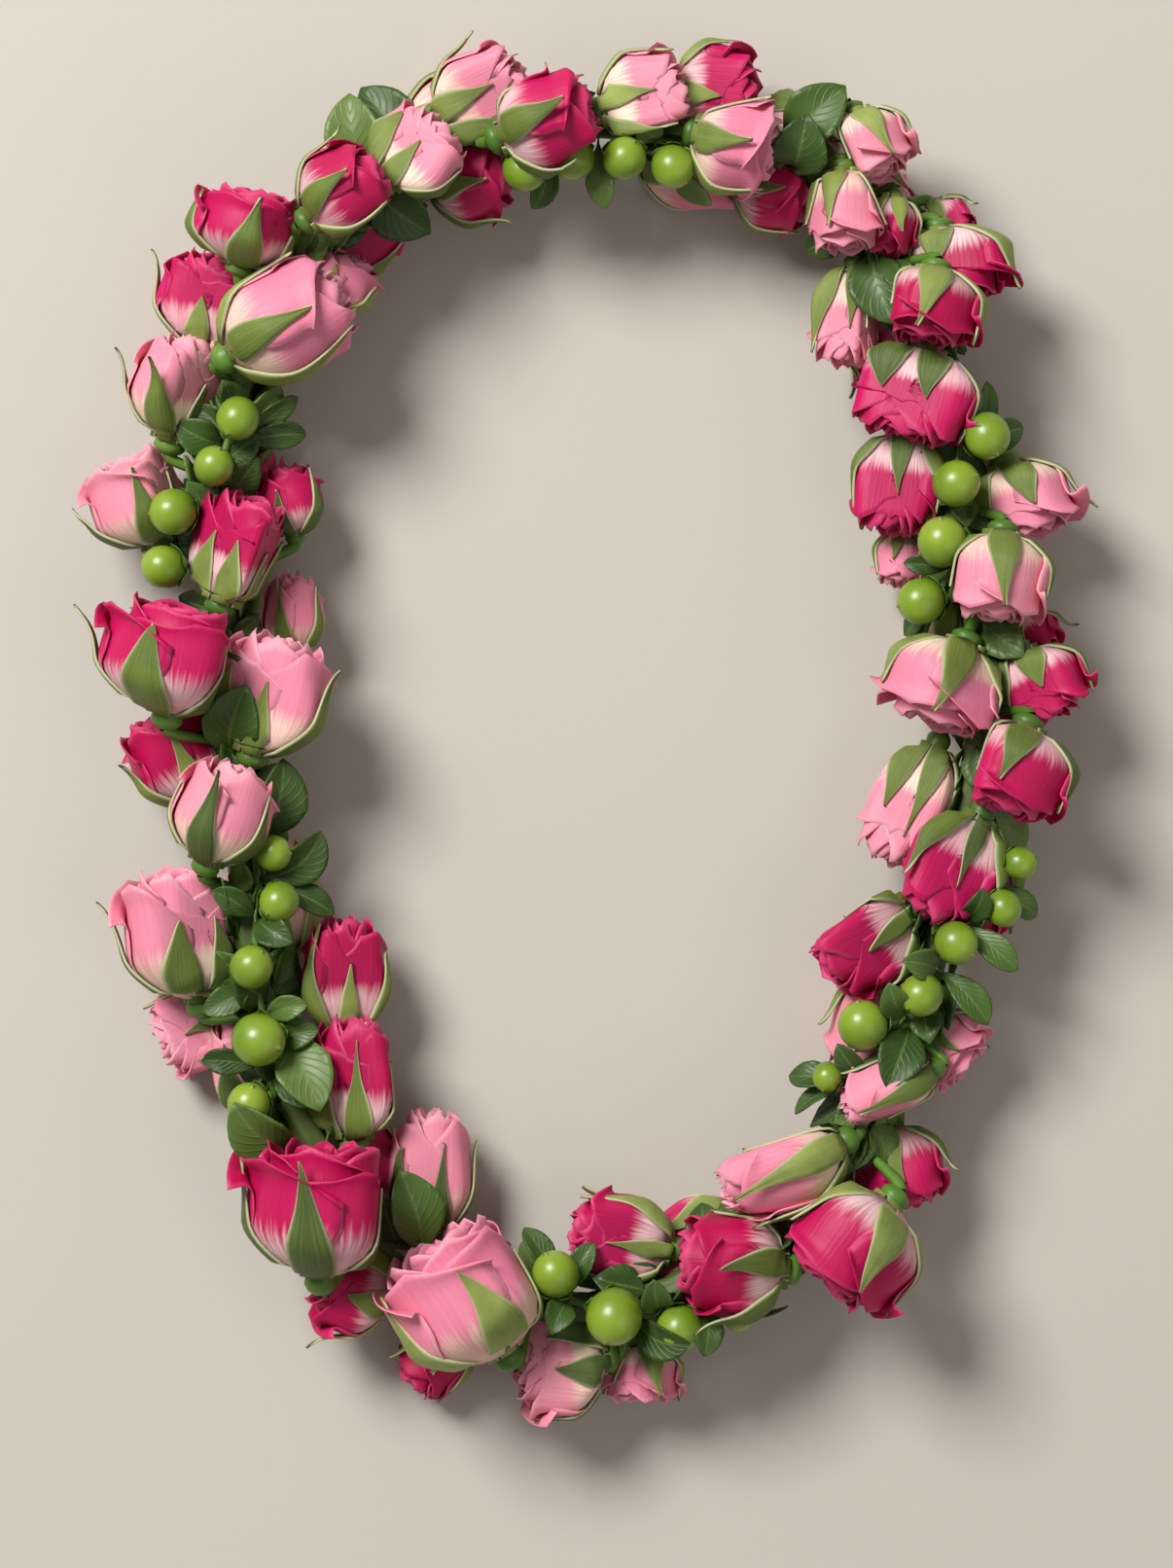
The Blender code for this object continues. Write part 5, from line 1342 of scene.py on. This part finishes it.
def leaf_material():
    """A waxy dark green leaf with a pale rib and fine side veins."""
    made, tree, shader = new_material("leaf_green", WAXY_SURFACE)
    _, along, edge, tone = shade_of(tree)
    base = ramp(tree, tone, LEAF_TONES)
    base = tinted(tree, base, LEAF_BLOOM, own_noise(tree, 110.0, detail=3.0), factor=1.2, offset=-0.4)
    base = tinted(tree, base, LEAF_RIB, scaled(tree, edge, -9.0, 1.0), factor=0.6)
    slant = worked_out(tree, "SUBTRACT", along, scaled(tree, edge, 0.3))
    waves = worked_out(tree, "SINE", worked_out(tree, "MULTIPLY", slant, SIDE_VEINS))
    veins = scaled(tree, waves, 2.0, -1.2)
    base = tinted(tree, base, LEAF_VEIN, veins, factor=0.25)
    cover(tree, shader, base, veins, depth=0.0004, strength=0.4)
    return made


def cord_material():
    """Twisted cotton cord."""
    made, tree, shader = new_material("cotton_cord", {"Roughness": 0.85})
    fibres = own_noise(tree, 1500.0, detail=4.0)
    cover(tree, shader, ramp(tree, fibres, CORD_TONES), fibres, depth=0.0004, strength=0.8)
    return made


def floor_material():
    """Plain warm pale floor."""
    return new_material("pale_floor", {"Base Color": (*FLOOR_COLOUR, 1.0), "Roughness": 0.9})[0]


def twig_line(berries, stations):
    """The twig of a sprig, beside the sleeve, through the places of its berries."""
    twig = []
    for (place, _, _, out), (next_place, _, _, next_out) in zip(berries, berries[1:]):
        steps = max(1, round((next_place - place) / TWIG_STEP))
        for step in range(steps):
            share = step / steps
            twig.append(twig_point(lerp(place, next_place, share), lerp(out, next_out, share), stations))
    twig.append(twig_point(berries[-1][0], berries[-1][3], stations))
    return twig


def lay_out():
    """The loop, the buds with their walls, the sprigs' berries and twigs, placed as in the solids."""
    random.seed(SEED)
    stations = loop_stations()
    buds = make_buds()
    places = [berry_places(sprig, stations) for sprig in SPRIGS]
    berries = [(middle, radius) for rows in places for _, middle, radius, _ in rows]
    settle(buds, stations, berries)
    rest_on_three(buds)
    hard_parts = plant_stems(buds, stations)
    for index in range(STATIONS):
        hard_parts.append(("sleeve", *chord_ends(stations, index), SLEEVE_RADIUS))
    twigs = [twig_line(rows, stations) for rows in places]
    for twig in twigs:
        hard_parts += [("twig", start, end, TWIG_RADIUS) for start, end in zip(twig, twig[1:])]
    hard_parts += [("berry", centre, centre + POINT_SPAN, radius) for centre, radius in berries]
    raise_walls(buds, hard_parts)
    return stations, buds, places, twigs


def shift_to_solids(stations):
    """From the layout's own place to the solids', which are centred over the origin."""
    ring = []
    for index, point in enumerate(stations):
        along = unit(stations[(index + 1) % STATIONS] - stations[index - 1])
        u = unit(np.cross(UP, along))
        v = np.cross(along, u)
        for side in range(CORD_SIDES):
            angle = 2 * math.pi * side / CORD_SIDES
            ring.append(point + (u * math.cos(angle) + v * math.sin(angle)) * CORD_RADIUS)
    ring = np.array(ring)
    low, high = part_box("string")
    shift = (np.array(low) + np.array(high)) / 2 / MM - (ring.min(axis=0) + ring.max(axis=0)) / 2
    shift[2] = 0.0
    return shift


def bound_buds(buds, shift):
    """Give each bud the planes that its fine pieces keep inside, a little outside the solids' own box."""
    low, high = (np.array(corner) / MM - shift for corner in SOLID_BOX)
    bounds = [(UP, CEILING, "ground"), (-UP, -FLOOR_CLEAR, "ground")]
    for side in np.eye(3)[:2]:
        bounds.append((side, side @ high + SIDE_ROOM, "ground"))
        bounds.append((-side, -side @ low + SIDE_ROOM, "ground"))
    for bud in buds:
        bud.bounds = bounds


def corners_of(solid, shift):
    """The corners of a solid, in the layout's own place."""
    return np.array([vert.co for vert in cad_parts[solid].data.vertices]) / MM - shift


def dress_buds(buds, shift, finishes):
    """The petals of the buds that show, a piece for each petal solid."""
    numbers = {HOT: 0, LIGHT: 0}
    for bud in buds:
        if bud.whole:
            continue
        numbers[bud.colour] += 1
        sheets = Sheets()
        add_petals(sheets, bud, np.random.default_rng(SEED + bud.index))
        solid = f"{bud.colour}_{numbers[bud.colour]:02d}"
        sheets.make(f"{solid}_fine", finishes[bud.colour], SLOTS[bud.colour], shift, solid)


def dress_lengths(stations, buds, shift, finishes):
    """Sepals, hips, stems, whole buds and leaves of every length of the sleeve."""
    for number in range(SLEEVE_LENGTHS):
        solid = f"calyxes_{number + 1:02d}"
        mine = [bud for bud in buds if bud.length_of_sleeve == number]
        for colour in (HOT, LIGHT):
            sheets = Sheets()
            for bud in mine:
                if bud.whole and bud.colour == colour:
                    add_petals(sheets, bud, np.random.default_rng(SEED + bud.index))
            sheets.make(f"{solid}_{colour}", finishes[colour], SLOTS[colour], shift, solid)
        rng = np.random.default_rng(GREEN_SEED + number)
        sheets, stems, leaves = Sheets(), Sheets(), Sheets()
        ends = add_sleeve(sheets, stations, number)
        for _ in range(SCALES):
            add_scale(leaves, ends, rng)
        for bud in mine:
            add_sepals(sheets, bud, rng)
            add_hip(stems, bud, rng)
        corners = corners_of(solid, shift)
        chords = range(number * CHORDS_IN_LENGTH, (number + 1) * CHORDS_IN_LENGTH)
        for spot in itertools.product(chords, FILLER_SHARES, FILLER_SIDES):
            add_leaf_that_fits(leaves, filler_tries(*spot, stations), corners, rng)
        sheets.make(f"{solid}_fine", finishes["sepal"], "stems_and_sepals", shift, solid)
        stems.make(f"{solid}_stems", finishes["stem"], "stems_and_sepals", shift, solid)
        leaves.make(f"{solid}_leaves", finishes["leaf"], "stems_and_sepals", shift, solid)


def dress_sprigs(stations, places, twigs, shift, finishes):
    """The berries, and the twigs and leaves, of every sprig."""
    for number, (sprig, rows, twig) in enumerate(zip(SPRIGS, places, twigs)):
        solid = f"hypericum_{number + 1:02d}"
        rng = np.random.default_rng(SPRIG_SEED + number)
        corners = corners_of(solid, shift)
        roots = [(start + end) / 2 for start, end in zip(twig, twig[1:])]
        berries, stalks, leaves = Sheets(), Sheets(), Sheets()
        add_tube(stalks, twig, np.full(len(twig), TWIG_RADIUS), STEM_SIDES, TWIG_TONE)
        for place, middle, radius, out in rows:
            root = twig_point(place, out, stations)
            add_berry(berries, root, middle, radius, rng)
            add_berry_calyx(stalks, root, middle, radius, rng)
        for row in sprig[1]:
            add_leaf_that_fits(leaves, leaf_tries(row, roots, stations), corners, rng)
        berries.make(f"{solid}_berries", finishes["berry"], "hypericum", shift, solid)
        stalks.make(f"{solid}_stalks", finishes["stem"], "hypericum", shift, solid)
        leaves.make(f"{solid}_leaves", finishes["leaf"], "hypericum", shift, solid)


def placed(name, data, place=(0.0, 0.0, 0.0)):
    """A new object of the scene, at a place."""
    made = bpy.data.objects.new(name, data)
    made.location = place
    bpy.context.scene.collection.objects.link(made)
    return made


def light_and_camera(shift):
    """A plain floor, a large soft key, a weak fill, and a camera that looks straight down."""
    bpy.ops.mesh.primitive_plane_add(size=FLOOR_SIZE, location=(0.0, 0.0, 0.0))
    floor = bpy.context.object
    floor.name = "floor"
    floor.data.materials.append(floor_material())
    world = bpy.data.worlds.new("soft_room")
    world.use_nodes = True
    background = world.node_tree.nodes["Background"]
    background.inputs["Color"].default_value = ROOM_COLOUR
    background.inputs["Strength"].default_value = ROOM_STRENGTH
    bpy.context.scene.world = world
    for name, place, size, watts in LAMPS:
        lamp = bpy.data.lights.new(name, "AREA")
        lamp.shape = "DISK"
        lamp.size = size
        lamp.energy = watts
        placed(name, lamp, place).rotation_euler = (-Vector(place)).to_track_quat("-Z", "Y").to_euler()
    lens = bpy.data.cameras.new("camera")
    lens.lens = LENS
    lens.sensor_width = SENSOR
    lens.sensor_fit = "AUTO"
    lens.clip_end = CAMERA_SIGHT
    bpy.context.scene.camera = placed("camera", lens, (shift[0] * MM, shift[1] * MM, CAMERA_HEIGHT))


def main():
    """Dress the lei."""
    bpy.context.scene.view_settings.view_transform = "Standard"
    stations, buds, places, twigs = lay_out()
    shift = shift_to_solids(stations)
    bound_buds(buds, shift)
    finishes = {
        HOT: petal_material("hot_pink_petal", **HOT_PETAL),
        LIGHT: petal_material("light_pink_petal", **LIGHT_PETAL),
        "sepal": sepal_material(),
        "stem": stem_material(),
        "berry": berry_material(),
        "leaf": leaf_material(),
    }
    dress_buds(buds, shift, finishes)
    dress_lengths(stations, buds, shift, finishes)
    dress_sprigs(stations, places, twigs, shift, finishes)
    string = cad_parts["string"]
    string.data.materials.clear()
    string.data.materials.append(cord_material())
    light_and_camera(shift)


main()
